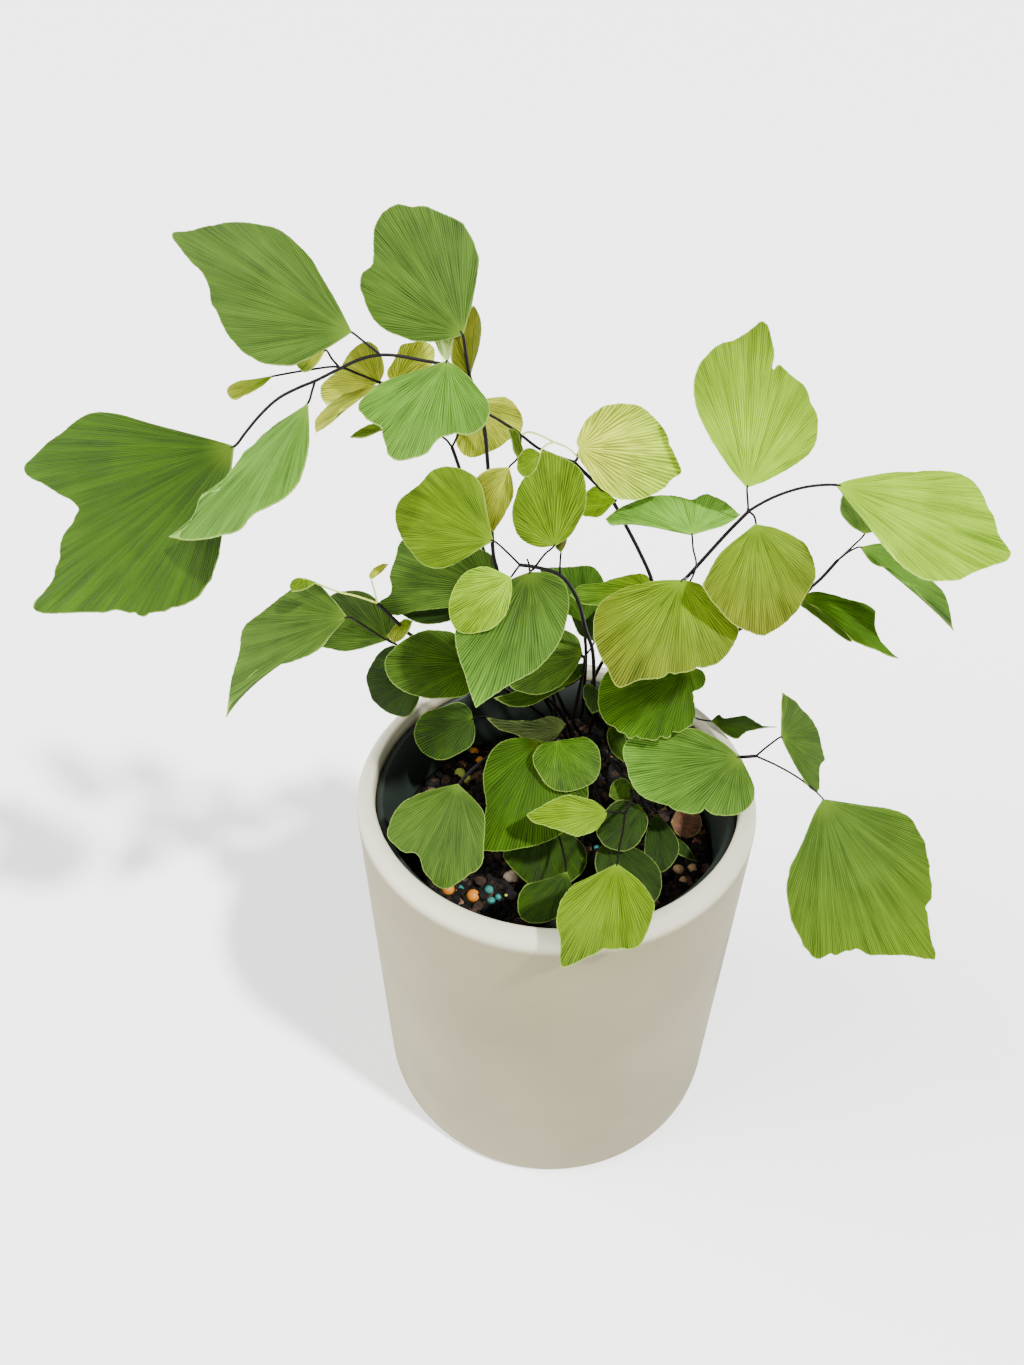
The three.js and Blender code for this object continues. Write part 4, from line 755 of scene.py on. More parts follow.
fronds["frond_arching"] = dict(foot=(20, 47), stipe=[596, 712, 40, 607, 690, 39, 625, 660, 37, 648, 625, 35,
    654, 600, 34, 652, 581, 33, 640, 553, 32, 625, 524, 31, 611, 499, 31, 594, 482, 30, 581, 469, 30,
    574, 462, 30],
    stems=dict(
    rachis=("mid", [574, 462, 30, 553, 455, 29, 538, 448, 28, 521, 435, 27, 510, 427, 27, 490, 415, 28,
        462, 403, 29, 430, 394, 30, 400, 387, 31, 378, 382, 31]),
    tip=("fine", [378, 382, 31, 361, 375, 31, 339, 367, 30, 308, 370, 29, 274, 376, 28]),
    twig=("fine", [340, 368, 30, 332, 359, 30, 326, 350, 30]),
    pale=("pale", [521, 435, 27, 528, 432, 27, 537, 434, 26, 554, 442, 26, 568, 448, 27, 578, 457, 27]),
    paleFork=("pale", [554, 442, 26, 548, 444, 24, 543, 448, 21, 540, 453, 18]),
    hang=("fine", [521, 435, 27, 520, 449, 25, 517, 459, 24, 510, 466, 22]),
    node=("mid", [574, 462, 30, 577, 459, 28, 579, 452, 27])),
    leaflets=dict(
    tip=dict(on="tip", base=(273, 376), depth=28, face=(-10, 62), droop=0.4, wave=0, tone="olive",
        tip="straw",
        rim=[262, 386, 249, 393, 230, 398, 227, 391, 236, 382, 256, 380]),
    twig=dict(on="twig", base=(325, 351), depth=30, face=(-20, 50), droop=1, wave=0, tone="straw",
        tip="olive",
        rim=[316, 365, 304, 372, 297, 365, 299, 352, 312, 345]),
    olive=dict(on="rachis", base=(379, 383), depth=31, face=(-16, 42), droop=1, tone="straw",
        rim=[360, 385, 340, 396, 326, 405, 321, 397, 321, 386, 330, 377, 341, 368, 347, 357, 356, 347,
            367, 342, 376, 346, 381, 356, 384, 372]),
    lobe=dict(on="rachis", seat=(380, 384, 30), base=(379, 385), depth=29, face=(-42, 20), droop=1,
        tone="straw",
        rim=[361, 386, 345, 392, 326, 407, 315, 423, 316, 433, 330, 424, 345, 405, 363, 397, 373, 391]),
    # its cream tone is painted light: the leaflet lies in shade and is coloured paler than its straw green so
    # that it looks lit
    behindTop=dict(on="rachis", seat=(396, 386, 31), base=(395, 383), depth=32, face=(-4, 36), droop=1,
        tone="cream", tip="straw",
        rim=[388, 377, 396, 357, 401, 346, 412, 342, 426, 342, 433, 347, 434, 360, 425, 372]),
    round=dict(on="node", base=(579, 448), depth=27, face=(8, 42), droop=2.5, tone="cream", tip="paleLime",
        rim=[576.5, 443, 577, 439, 578.5, 435.5, 580, 431.5, 582, 427.5, 584, 423, 587, 419, 591, 415,
            595, 412, 600, 408, 606, 405, 612, 404, 619, 403.3, 626, 403.4, 634, 404, 639, 405.5,
            643.5, 408, 648, 411.5, 652, 416, 656.5, 420.5, 660, 424.5, 663, 428, 665, 431.5, 667.5, 435.5,
            669, 440, 669.7, 445, 673, 450.7, 675.7, 457, 678.6, 463.6, 681, 470, 680.4, 473.6, 677, 476,
            673, 478.6, 670, 481.5, 667, 486, 662, 490, 656.4, 493, 650.7, 496, 645, 498.3, 638.6, 500,
            632, 500.3, 625, 500, 620.7, 499.6, 615, 498, 608.6, 493.6, 603, 490, 598.6, 485.7,
            594.3, 480.7, 590, 474.3, 585.7, 468, 582, 463, 579.3, 458, 577.6, 453]),
    folded=dict(on="hang", base=(509, 467), depth=21.5, face=(5, 8), droop=1, tone="straw", tip="gold",
        rim=[487, 470, 476, 478, 470, 500, 489, 526, 493, 532, 507, 510, 513, 494, 513, 483]),
    strap=dict(on="rachis", seat=(510, 427, 27), base=(512, 428), depth=25, face=(50, 20), droop=0.5,
        wave=0, tone="moss",
        rim=[508, 430, 512, 441, 514, 451, 518, 458, 523, 451, 520, 440, 519, 434]),
    bud=dict(on="paleFork", base=(541, 453), depth=18.5, face=(-30, 38), droop=1, tone="olive",
        rim=[529, 448, 521, 453, 517, 462, 518, 471, 525, 477, 533, 473, 538, 464]),
    sideLow=dict(on="stipe", seat=(614, 503, 31), base=(616, 500), depth=28, face=(-14, 46), droop=1,
        tone="paleLime",
        rim=[606, 492, 597, 486, 587, 492, 580, 506, 581, 513, 591, 517, 600, 516, 610, 507]),
    # its pale tone is painted light: the leaflet lies in shade and is coloured paler so that it looks lit
    glancing=dict(on="stipe", seat=(653, 592, 33.5), base=(651, 590), depth=31, face=(-10, 76), droop=1,
        tone="paleLime", tip="paleSea",
        rim=[649, 578, 624, 576, 601, 583, 578, 587, 570, 595, 578, 602, 601, 605, 625, 604])))
fronds["frond_right"] = dict(foot=(17, 43), stipe=[588, 712, 41, 590, 690, 38, 600, 666, 34, 618, 640, 30,
    650, 610, 26, 684, 580, 21, 708, 554, 18, 729, 531, 16, 748, 512, 15],
    stems=dict(
    up=("fine", [747, 514, 15, 748, 508, 15, 747, 488, 15]),
    out=("mid", [747, 512, 15, 762, 503, 14, 779, 495, 12, 806, 487, 10, 836, 485, 8]),
    down=("fine", [748, 511, 15, 754, 516, 14, 756, 525, 13]),
    nearStalk=("fine", [684, 580, 21, 687, 578, 16, 682, 580, 10]),
    paleStalk=("fine", [650, 610, 26, 672, 598, 23.5, 688, 584, 21, 696, 566, 17, 693, 548, 12,
        692, 535, 9])),
    leaflets=dict(
    high=dict(on="up", base=(747, 488), depth=15, face=(8, 34), droop=3, tone="paleLime", tip="lime",
        rim=[741, 481, 731, 470, 722, 457, 712, 441, 703, 424, 697, 409, 694, 396, 693.5, 384, 696, 372,
            700, 363, 707, 355, 715, 347, 721, 343.5, 732, 341, 741, 336.5, 747, 333, 754, 327, 763, 322,
            767, 325, 770, 334, 773, 345, 774.5, 356, 772, 366, 773.5, 370, 776, 366, 779, 364.5, 783, 367,
            789, 373, 797, 380, 804, 386, 808, 394, 810, 402, 815, 410, 818, 419, 818, 431, 816, 442,
            811, 451, 803, 459, 793, 466, 782, 473, 772, 478, 762, 483, 753, 485]),
    far=dict(on="out", base=(836, 485), depth=8, face=(20, 56), droop=3, tone="paleLime",
        rim=[845, 493, 852, 502, 860, 514, 868, 525, 877, 537, 886, 549, 895, 559, 904, 568, 913, 574,
            922, 579, 936, 581.5, 948, 581, 960, 580, 970, 574.5, 982, 569.5, 995, 564.5, 1007, 560,
            1010, 556, 1007, 547, 1002, 540, 998, 533, 996, 524, 993, 515, 988, 508, 984, 498, 979, 489,
            972, 481, 963, 475.5, 952, 472, 940, 470.5, 927, 470.5, 915, 472, 900, 472, 885, 473,
            872, 475.5, 858, 478, 846, 481]),
    under=dict(on="down", base=(755, 524), depth=13, face=(4, 46), droop=3, tone="brightLime", tip="gold",
        rim=[748, 530, 739, 537, 729, 545, 720, 554, 712, 566, 706, 577, 702, 585, 706, 593, 712, 602,
            720, 611, 728, 620, 738, 627, 748, 631, 757, 635, 764, 636, 771, 632.5, 781, 626, 790, 618,
            799, 609, 803, 601, 807, 594, 812, 586, 816, 577, 815, 566, 811, 554, 804, 543, 795, 537,
            784, 531, 772, 527, 762, 525.5]),
    olive=dict(on="nearStalk", base=(681, 580), depth=10, face=(-2, 58), droop=4, tone="brightLime",
        tip="gold",
        rim=[670, 580, 655, 581, 642, 584, 628, 587, 618, 591, 609, 596, 602, 601, 597, 608, 594, 617,
            593, 628, 594, 639, 598, 650, 603, 661, 608, 669, 611, 677, 614, 683, 618, 687, 624, 686.5,
            631, 683.5, 639, 680, 650, 679, 660, 678, 665, 676, 669, 672.5, 674, 674, 681, 673, 688, 672,
            694, 670, 697, 667.5, 702, 668.5, 709, 666.5, 717, 664, 724, 658, 731, 650, 736, 641, 739, 630,
            731, 620, 722, 610, 714, 601, 706, 592, 701, 585, 693, 582]),
    shelf=dict(on="paleStalk", base=(692, 535), depth=9, face=(4, 82), droop=2, tone="paleSea", tip="sea",
        rim=[678, 528, 652, 522, 631, 521, 609, 524, 605, 519, 619, 509, 649, 497, 678, 497, 692, 500,
            705, 494, 717, 498, 741, 515, 726, 525, 708, 530])))
fronds["frond_right_back"] = dict(foot=(25, 46), stipe=[614, 712, 45, 640, 690, 44, 685, 662, 41,
    735, 632, 39, 780, 606, 38, 815, 584, 37, 838, 560, 36],
    stems=dict(
    end=("fine", [836, 562, 36, 852, 547, 36, 864, 535, 36]),
    low=("fine", [815, 584, 37, 808, 592, 36, 803, 596, 35]),
    drop=("fine", [838, 560, 36, 850, 551, 34, 860, 547, 32])),
    leaflets=dict(
    behind=dict(on="end", base=(865, 534), depth=36, face=(24, 50), droop=1.5, tone="meadow",
        rim=[850, 525, 841, 513, 843, 494, 862, 478, 890, 488, 902, 505, 893, 524]),
    tongue=dict(on="drop", base=(860, 547), depth=32, face=(14, 66), droop=2.5, tone="sea", tip="meadow",
        rim=[871, 562, 903, 574, 918, 593, 954, 631, 942, 591, 925, 575, 905, 560, 883, 544]),
    hook=dict(on="low", base=(803, 596), depth=35, face=(10, 70), droop=3, tone="glade",
        rim=[805, 602, 811, 605, 816, 607, 822, 610, 828, 613, 833, 617, 838, 622, 844, 630, 850, 638,
            860, 644, 870, 648, 878, 651, 885, 654, 892, 657, 899, 658.5, 893, 654, 886, 647, 880, 640,
            877, 634, 875, 626, 875, 618, 875, 611, 871, 607, 866, 604, 860, 602, 850, 600, 840, 597,
            830, 594, 820, 592, 812, 592]),
    hookUnder=dict(on="low", seat=(803, 596, 35), base=(803, 598), depth=34, face=(10, 64), droop=0.5,
        wave=0, teeth=0, tone="meadow",
        rim=[801, 606, 806, 609, 812, 614, 820, 620, 830, 628, 840, 636, 848, 641, 852, 642, 851, 638,
            845, 632, 838, 624, 832, 618])))
fronds["frond_low_right"] = dict(foot=(24, 38), stipe=[612, 732, 35, 635, 740, 28, 665, 748, 18,
    700, 755, 8, 739, 757, -2, 756, 756, -5],
    stems=dict(
    up=("fine", [756, 756, -5, 768, 746, -6, 781, 737, -7]),
    down=("fine", [756, 756, -5, 778, 766, -8, 803, 781, -10, 823, 799, -12])),
    leaflets=dict(
    near=dict(on="stipe", seat=(739, 757, -2), base=(739, 757), depth=-4, face=(-4, 62), droop=3,
        tone="meadow", tip="sea",
        rim=[746, 768, 751, 778, 755, 789, 754, 799, 750, 806, 744, 811, 737, 814.5, 728, 816, 718, 815.5,
            711, 814, 707, 811, 705, 808.5, 702, 812, 696, 814, 689, 814, 680, 811.5, 674, 810, 669, 806,
            661, 804, 651, 801, 642, 796.5, 635, 790, 631, 783, 628, 775, 626, 765, 623, 757, 623, 749,
            626, 742, 630, 739, 645, 732, 660, 729, 680, 728, 697, 729, 710, 735, 722, 742, 732, 750]),
    side=dict(on="up", base=(781, 737), depth=-7, face=(38, 30), droop=1.5, tone="leaf",
        rim=[782, 722, 781.5, 706, 782, 692, 788, 696, 795, 701, 801, 708, 807, 714, 813, 722, 818, 732,
            821, 744, 823, 754, 824, 760, 821, 763, 819, 769, 819, 780, 819, 788, 817, 793, 812, 790,
            805, 781, 797, 769, 791, 758, 785, 746]),
    low=dict(on="down", base=(823, 799), depth=-12, face=(6, 50), droop=4, wave=0.8, tone="meadow",
        tip="lime",
        rim=[816, 810, 810, 823, 805, 835, 801, 846, 795, 857, 790, 866, 788, 876, 786, 888, 787, 898,
            789, 909, 791, 921, 796, 931, 801, 941, 804, 948, 808, 951, 812, 957, 820, 959, 825, 956,
            830, 953.5, 836, 955, 840, 953, 845, 951, 851, 950.5, 857, 948.5, 862, 951, 868, 954.5,
            880, 955, 891, 955.5, 905, 955.5, 915, 957, 925, 959, 935, 959.5, 935, 952, 932, 944, 930, 933,
            928, 922, 927, 912, 925.5, 908, 928, 903, 931, 900, 932, 892, 932, 883, 930, 874, 930, 866,
            927, 854, 925, 842, 921, 835, 917, 828, 912, 820, 906, 815, 897, 811, 885, 808, 870, 806,
            855, 805, 841, 804, 831, 801.5])))
fronds["frond_mid_right"] = dict(foot=(20, 34), stipe=[606, 722, 31, 618, 706, 29, 640, 690, 26,
    664, 675, 22, 685, 668, 20],
    stems=dict(
    out=("fine", [664, 675, 22, 680, 700, 23, 696, 718, 24, 712, 721, 25])),
    leaflets=dict(
    serrate=dict(on="stipe", base=(688, 666), depth=19, face=(-6, 60), droop=3, wave=0.7, tone="deep",
        tip="glade",
        rim=[660, 664, 625, 664, 607, 671, 600, 684, 598, 697, 599, 711, 603, 719, 609, 725, 615, 727,
            619, 732, 624, 733, 627, 738, 632, 739, 636, 736, 640, 739, 646, 739.5, 652, 741, 658, 740,
            661, 737, 665, 739, 671, 737, 673, 732, 678, 733, 685, 730, 689, 727, 693, 725, 694, 720,
            696, 714, 693, 710, 695, 706, 693, 702, 694, 697, 691, 695, 692, 693, 699, 690, 704, 686,
            706, 680, 704, 673]),
    hang=dict(on="stipe", seat=(606, 722, 31), base=(609, 727), depth=29, face=(16, 52), droop=1,
        tone="deep",
        rim=[607, 735, 614, 754, 624, 763, 627, 745, 622, 732]),
    dart=dict(on="out", base=(711, 721), depth=25, face=(8, 72), droop=1, tone="deepShade",
        rim=[715, 717, 719, 714.5, 722, 717, 735, 717, 747, 716, 752, 719, 758, 723, 764, 726.5, 777, 727,
            764, 728.5, 755, 730, 747, 732, 743, 735, 739, 739, 733, 738, 727, 735, 719, 728])))
fronds["frond_back_centre"] = dict(foot=(11, 49), stipe=[582, 712, 46, 584, 690, 45, 586, 655, 43,
    584, 628, 41],
    stems=dict(
    side=("fine", [586, 655, 43, 591, 648, 41, 594, 642, 39])),
    leaflets=dict(
    grey=dict(on="stipe", base=(583, 622), depth=40, face=(-4, 30), droop=1, tone="sea",
        rim=[555, 606, 541, 585, 540, 568, 567, 567, 595, 568, 604, 582, 600, 604]),
    dark=dict(on="side", base=(594, 641), depth=38, face=(-24, 34), droop=0.5, wave=0, tone="shade",
        rim=[580, 635, 573, 622, 569, 606, 590, 604, 600, 615])))
fronds["frond_centre"] = dict(foot=(14, 38), stipe=[594, 716, 34, 594, 694, 29, 594, 675, 25, 592, 648, 22,
    586, 631, 21, 579, 604, 19, 572, 589, 18, 560, 575, 16, 535, 567, 12, 520, 565, 10],
    stems=dict(
    left=("fine", [520, 565, 10, 508, 553, 8, 494, 541, 6]),
    lowLeft=("fine", [520, 565, 10, 516, 570, 6, 511, 577, 2]),
    riser=("fine", [535, 567, 12, 545, 554, 12, 554, 546, 12]),
    fold=("fine", [560, 575, 16, 560, 565, 15, 561, 553, 14]),
    crozier=("fine", [536, 567, 12, 530, 571, 12, 529, 564, 12, 527, 559, 12]),
    spur=("fine", [534, 568, 12, 532, 570, 10, 530, 572, 8])),
    leaflets=dict(
    left=dict(on="left", base=(493, 541), depth=6, face=(-16, 36), droop=2.5, tone="brightLime", tip="lime",
        rim=[488, 527, 486, 509, 481, 486, 476, 477, 460, 468, 441, 467, 431, 472, 421, 483, 397, 504,
            404, 543, 411, 552, 422, 564, 436, 569, 451, 566, 466, 558, 482, 547]),
    upper=dict(on="riser", base=(555, 546), depth=12, face=(-6, 24), droop=2, tone="brightLime", tip="lime",
        rim=[538, 547, 525, 542, 517, 534, 512, 515, 514, 500, 519, 486, 525, 477, 533, 462, 542, 452,
            561, 457, 574, 464, 582, 472, 586, 486, 584, 512, 578, 524, 570, 536]),
    fold=dict(on="fold", base=(561, 553), depth=14, face=(10, 30), droop=0.4, wave=0, tone="moss",
        tip="brown",
        rim=[555, 546, 560, 538, 567, 535, 566, 544]),
    small=dict(on="lowLeft", base=(511, 577), depth=1.5, face=(-10, 44), droop=2, tone="paleLime",
        tip="brightLime",
        rim=[501, 572, 482, 567, 470, 570, 459, 579, 452, 593, 451, 621, 457, 630, 482, 632, 491, 629,
            503, 619, 510, 602, 512, 588]),
    shaded=dict(on="stipe", seat=(594, 694, 29), base=(592, 684), depth=25, face=(-8, 46), droop=0.5,
        wave=0, tone="shade",
        rim=[585, 685, 583, 693, 585, 702, 592, 714, 598, 711, 600, 694]),
    heart=dict(on="spur", base=(529, 572), depth=8, face=(0, 52), droop=3, tone="leaf", tip="sea",
        rim=[512, 579, 490, 595, 462, 610, 455, 633, 466, 679, 476, 708, 493, 696, 512, 683, 537, 669,
            556, 648, 566, 625, 569, 602, 564, 583, 552, 574])))
fronds["frond_left"] = dict(foot=(7, 36), stipe=[560, 712, 36, 540, 692, 35, 500, 668, 29, 455, 652, 24,
    411, 635, 21, 396, 621, 19, 377, 603, 18],
    stems=dict(
    near=("fine", [455, 652, 24, 425, 652, 21, 397, 645, 17, 370, 630, 11, 348, 617, 6]),
    yellow=("pale", [377, 603, 18, 356, 596, 16, 339, 592, 14, 318, 584, 12, 303, 578, 11]),
    bud=("pale", [377, 603, 18, 375, 593, 17, 371, 579, 16]),
    mid=("fine", [397, 645, 17, 393, 642, 18, 389, 640, 19])),
    leaflets=dict(
    outer=dict(on="near", base=(347, 617), depth=6, face=(-34, 44), droop=4, wave=0.8, tone="meadow",
        rim=[331, 597, 317, 584, 309, 583, 281, 597, 262, 612, 243, 629, 239, 652, 231, 681, 226, 718,
            237, 693, 254, 672, 291, 662, 316, 651, 326, 642, 332, 626]),
    inner=dict(on="mid", base=(388, 640), depth=19, face=(-14, 54), droop=2, tone="leaf",
        rim=[400, 632, 396, 621, 382, 606, 370, 594, 345, 591, 331, 596, 325, 625, 321, 647, 341, 651,
            358, 649, 373, 645]),
    pod=dict(on="near", seat=(397, 645, 17), base=(394, 643), depth=15, face=(-8, 52), droop=1, wave=0,
        tone="gold", tip="olive",
        rim=[387, 636, 396, 625, 406, 619, 413, 621, 409, 630, 401, 640]),
    curl=dict(on="yellow", base=(305, 579), depth=11, face=(-30, 60), droop=1, wave=0, tone="olive",
        rim=[316, 582, 308, 588, 292, 592, 290, 586, 297, 578]),
    sprout=dict(on="bud", base=(371, 580), depth=16, face=(12, 60), droop=0.5, wave=0, tone="straw",
        rim=[369, 577, 372, 571, 383, 564, 389, 564, 383, 571])))
fronds["frond_left_back"] = dict(foot=(1, 46), stipe=[552, 712, 46, 530, 675, 44, 505, 625, 38,
    494, 594, 31],
    stems=dict(
    low=("fine", [505, 625, 38, 494, 616, 36, 484, 608, 32])),
    leaflets=dict(
    broad=dict(on="stipe", base=(492, 590), depth=29, face=(-14, 37), droop=3, tone="meadow",
        rim=[499, 570, 494, 557, 483, 550, 450, 548, 420, 540, 403, 540, 395, 560, 390, 575, 391, 593,
            379, 602, 390, 614, 416, 611, 455, 606]),
    shaded=dict(on="low", base=(483, 607), depth=32, face=(-10, 58), droop=1, tone="shade",
        rim=[455, 610, 425, 606, 398, 612, 416, 622, 432, 624, 449, 621])))
fronds["frond_low_left"] = dict(foot=(0, 37), stipe=[545, 718, 33, 515, 696, 28, 492, 680, 19,
    476, 664, 12],
    stems=dict(
    low=("fine", [492, 680, 19, 465, 680, 20, 440, 678, 19, 424, 676, 18])),
    leaflets=dict(
    upper=dict(on="stipe", base=(474, 662), depth=11, face=(8, 52), droop=2.5, tone="deep", tip="leaf",
        rim=[454, 633, 438, 630, 423, 631, 409, 637, 395, 647, 386, 659, 385, 670, 390, 680, 404, 691,
            420, 697, 441, 698, 469, 693]),
    under=dict(on="low", base=(423, 676), depth=18, face=(-24, 50), droop=1.5, tone="deepShade", tip="shade",
        rim=[408, 655, 395, 645, 384, 649, 371, 666, 366, 677, 369, 691, 373, 701, 384, 710, 397, 716,
            408, 716, 413, 711, 419, 699])))
fronds["frond_centre_low"] = dict(foot=(11, 33), stipe=[573, 722, 31, 577, 700, 27, 582, 676, 23,
    584, 657, 21],
    stems=dict(
    slant=("fine", [582, 676, 23, 575, 682, 21, 568, 686, 19])),
    leaflets=dict(
    dark=dict(on="stipe", base=(583, 655), depth=21, face=(-6, 56), droop=2, tone="leaf", tip="meadow",
        rim=[577, 637, 564, 630, 545, 632, 525, 650, 514, 668, 510, 686, 524, 693, 541, 694, 560, 686,
            575, 669]),
    edge=dict(on="slant", base=(566, 687), depth=19, face=(-4, 62), droop=1, tone="deep",
        rim=[583, 673, 586, 663, 578, 664, 555, 680, 520, 690, 494, 698, 504, 704, 529, 706, 545, 698])))
fronds["frond_inner_left"] = dict(foot=(-4, 40), stipe=[535, 730, 36, 510, 726, 31, 490, 718, 27],
    stems=dict(
    out=("fine", [490, 718, 27, 483, 717, 25, 474, 718, 23])),
    leaflets=dict(
    round=dict(on="out", base=(473, 719), depth=23, face=(-16, 56), droop=1.5, tone="shade", tip="deep",
        rim=[471, 711, 462, 703, 440, 708, 424, 714, 414, 736, 424, 753, 438, 760, 459, 754, 472, 744,
            475, 730])))
fronds["frond_grey_low"] = dict(foot=(5, 29), stipe=[568, 748, 24, 567, 740, 22, 564, 733, 20],
    stems={},
    leaflets=dict(
    grey=dict(on="stipe", base=(562, 730), depth=19, face=(-4, 70), droop=1, tone="grey",
        rim=[566, 724, 557, 718, 530, 721, 502, 720, 487, 718, 492, 724, 519, 736, 539, 743, 556, 738])))
fronds["frond_front_left"] = dict(foot=(-3, 29), stipe=[520, 752, 22, 495, 754, 12, 478, 765, 0,
    466, 776, -10],
    stems={},
    leaflets=dict(
    broad=dict(on="stipe", base=(458, 784), depth=-16, face=(-18, 58), droop=3, tone="leaf", tip="meadow",
        rim=[448, 786, 435, 789, 424, 792, 414, 796, 404, 801, 397, 808, 392, 816, 389, 825, 387, 834,
            390, 841, 395, 845, 400, 850, 407, 853, 414, 853, 418, 856, 421, 863, 424, 872, 430, 879,
            436, 886, 442, 889, 449, 888, 455, 885, 460, 881, 466, 877, 470, 874, 475, 872, 479, 869,
            483, 862, 484, 848, 485, 830, 484, 813, 478, 804, 471, 796, 464, 790])))
fronds["frond_front"] = dict(foot=(9, 28), stipe=[572, 756, 20, 558, 748, 12, 545, 742, 5],
    stems=dict(
    right=("fine", [558, 748, 12, 561, 741, 7, 558, 740, 2])),
    leaflets=dict(
    large=dict(on="stipe", base=(540, 741), depth=4, face=(-6, 60), droop=3, tone="deep", tip="glade",
        rim=[526, 738, 511, 739, 499, 744, 491, 752, 486, 763, 483, 777, 484, 790, 486, 803, 485, 813,
            481, 823, 476, 832, 476, 840, 479, 849, 488, 850.5, 500, 851, 512, 850, 522, 848, 532, 846.5,
            545, 842, 556, 837, 565, 830, 575, 818, 583, 806, 588, 796, 587, 784, 581, 771, 573, 758,
            562, 747, 551, 742]),
    round=dict(on="right", base=(557, 741), depth=1, face=(4, 58), droop=1.5, tone="glade", tip="meadow",
        rim=[541, 745, 533, 755, 540, 776, 547, 786, 564, 792, 582, 788, 596, 779, 601, 762, 597, 746,
            585, 737, 571, 739])))
fronds["frond_spray"] = dict(foot=(16, 30), stipe=[605, 754, 22, 618, 770, 9, 630, 786, -3, 632, 797, -10,
    625, 813, -21],
    stems=dict(
    front=("fine", [625, 813, -21, 623, 830, -31, 619, 850, -40, 617, 864, -47]),
    left=("fine", [625, 813, -21, 615, 812, -23, 607, 812, -24]),
    spur=("fine", [630, 786, -3, 619, 793, -6])),
    leaflets=dict(
    bright=dict(on="front", base=(617, 864), depth=-47, face=(-4, 76), droop=1.5, wave=0.4, tone="lime",
        rim=[608, 868, 596, 875, 584, 880, 572, 886, 566, 893, 561, 901, 558, 911, 556.5, 922, 558, 932,
            560, 940, 560, 952, 560, 962, 562, 967, 568, 966, 574, 964, 580, 961, 588, 957, 594, 955,
            599, 952, 603, 949, 610, 950, 617, 949.5, 624, 949, 627, 950, 632, 949, 636, 948, 641, 943,
            645, 936, 649, 926, 652, 916, 654, 905, 650, 895, 644, 886, 636, 878, 627, 871]),
    pale=dict(on="left", base=(607, 812), depth=-24, face=(6, 66), droop=1.5, tone="brightLime",
        rim=[606, 817, 602, 823, 597, 829, 590, 833, 583, 835, 577, 836.5, 571, 834.5, 562, 831, 552, 828,
            543, 825, 534, 822, 529, 818, 527, 815, 533, 811, 540, 807, 547, 803, 556, 799, 564, 796,
            571, 795, 580, 796.5, 588, 799, 594, 801, 600, 805]),
    tiny=dict(on="spur", base=(609, 796), depth=-8, face=(4, 60), droop=0.5, wave=0, tone="leaf",
        rim=[612, 784, 622, 778, 632, 786, 634, 797, 622, 803])))
fronds["frond_shade_right"] = dict(foot=(21, 27), stipe=[636, 778, 10, 640, 792, 2, 642, 804, -10],
    stems=dict(
    low=("fine", [640, 792, 2, 655, 812, -6, 668, 826, -9, 678, 838, -11])),
    leaflets=dict(
    round=dict(on="stipe", base=(641, 806), depth=-12, face=(-6, 66), droop=1, tone="shade",
        rim=[620, 800, 604, 812, 597, 834, 606, 846, 617, 851, 629, 850, 643, 836, 648, 820]),
    wide=dict(on="low", seat=(655, 812, -6), base=(655, 813), depth=-8, face=(4, 68), droop=1.5,
        tone="shade",
        rim=[663, 820, 679, 849, 675, 860, 661, 872, 648, 862, 645, 840]),
    narrow=dict(on="low", base=(678, 838), depth=-11, face=(22, 64), droop=0.5, wave=0, tone="shade",
        rim=[676, 850, 697, 862, 688, 847])))
fronds["frond_shade_centre"] = dict(foot=(14, 22), stipe=[600, 800, 2, 603, 815, -6, 606, 832, -15],
    stems={},
    leaflets=dict(
    wide=dict(on="stipe", base=(608, 838), depth=-18, face=(0, 70), droop=1.5, tone="shade",
        rim=[596, 855, 600, 880, 625, 900, 655, 902, 662, 883, 655, 862, 635, 848])))
fronds["frond_shade_front"] = dict(foot=(4, 23), stipe=[553, 792, 8, 549, 808, 0, 546, 822, -8],
    stems=dict(
    low=("fine", [548, 812, -2, 560, 840, -18, 566, 868, -32])),
    leaflets=dict(
    upper=dict(on="stipe", base=(545, 826), depth=-10, face=(-2, 66), droop=1.5, tone="shade", tip="deep",
        rim=[520, 838, 503, 854, 510, 866, 521, 878, 537, 888, 558, 887, 574, 880, 584, 870, 585, 848,
            570, 834]),
    lower=dict(on="low", base=(567, 872), depth=-34, face=(-2, 72), droop=1, tone="shade", tip="deep",
        rim=[545, 880, 524, 887, 518, 902, 521, 918, 542, 923, 560, 916, 574, 898])))

# the shed brown leaflet on the bed
shedLeaflet = dict(base=(671, 822), depth=4.05, face=(-10, 80), droop=0.6, wave=0.2, tone="brown", seed=9000,
    rim=[677, 811, 699, 814, 701, 828, 696, 835, 685, 838, 675, 832])


def faceNormal(turn, lift):
    a, b = math.radians(turn), math.radians(lift)
    return np.array((math.sin(a) * math.cos(b), -math.cos(a) * math.cos(b), math.sin(b)))


def unit(v):
    return v / np.linalg.norm(v, axis=-1, keepdims=True)


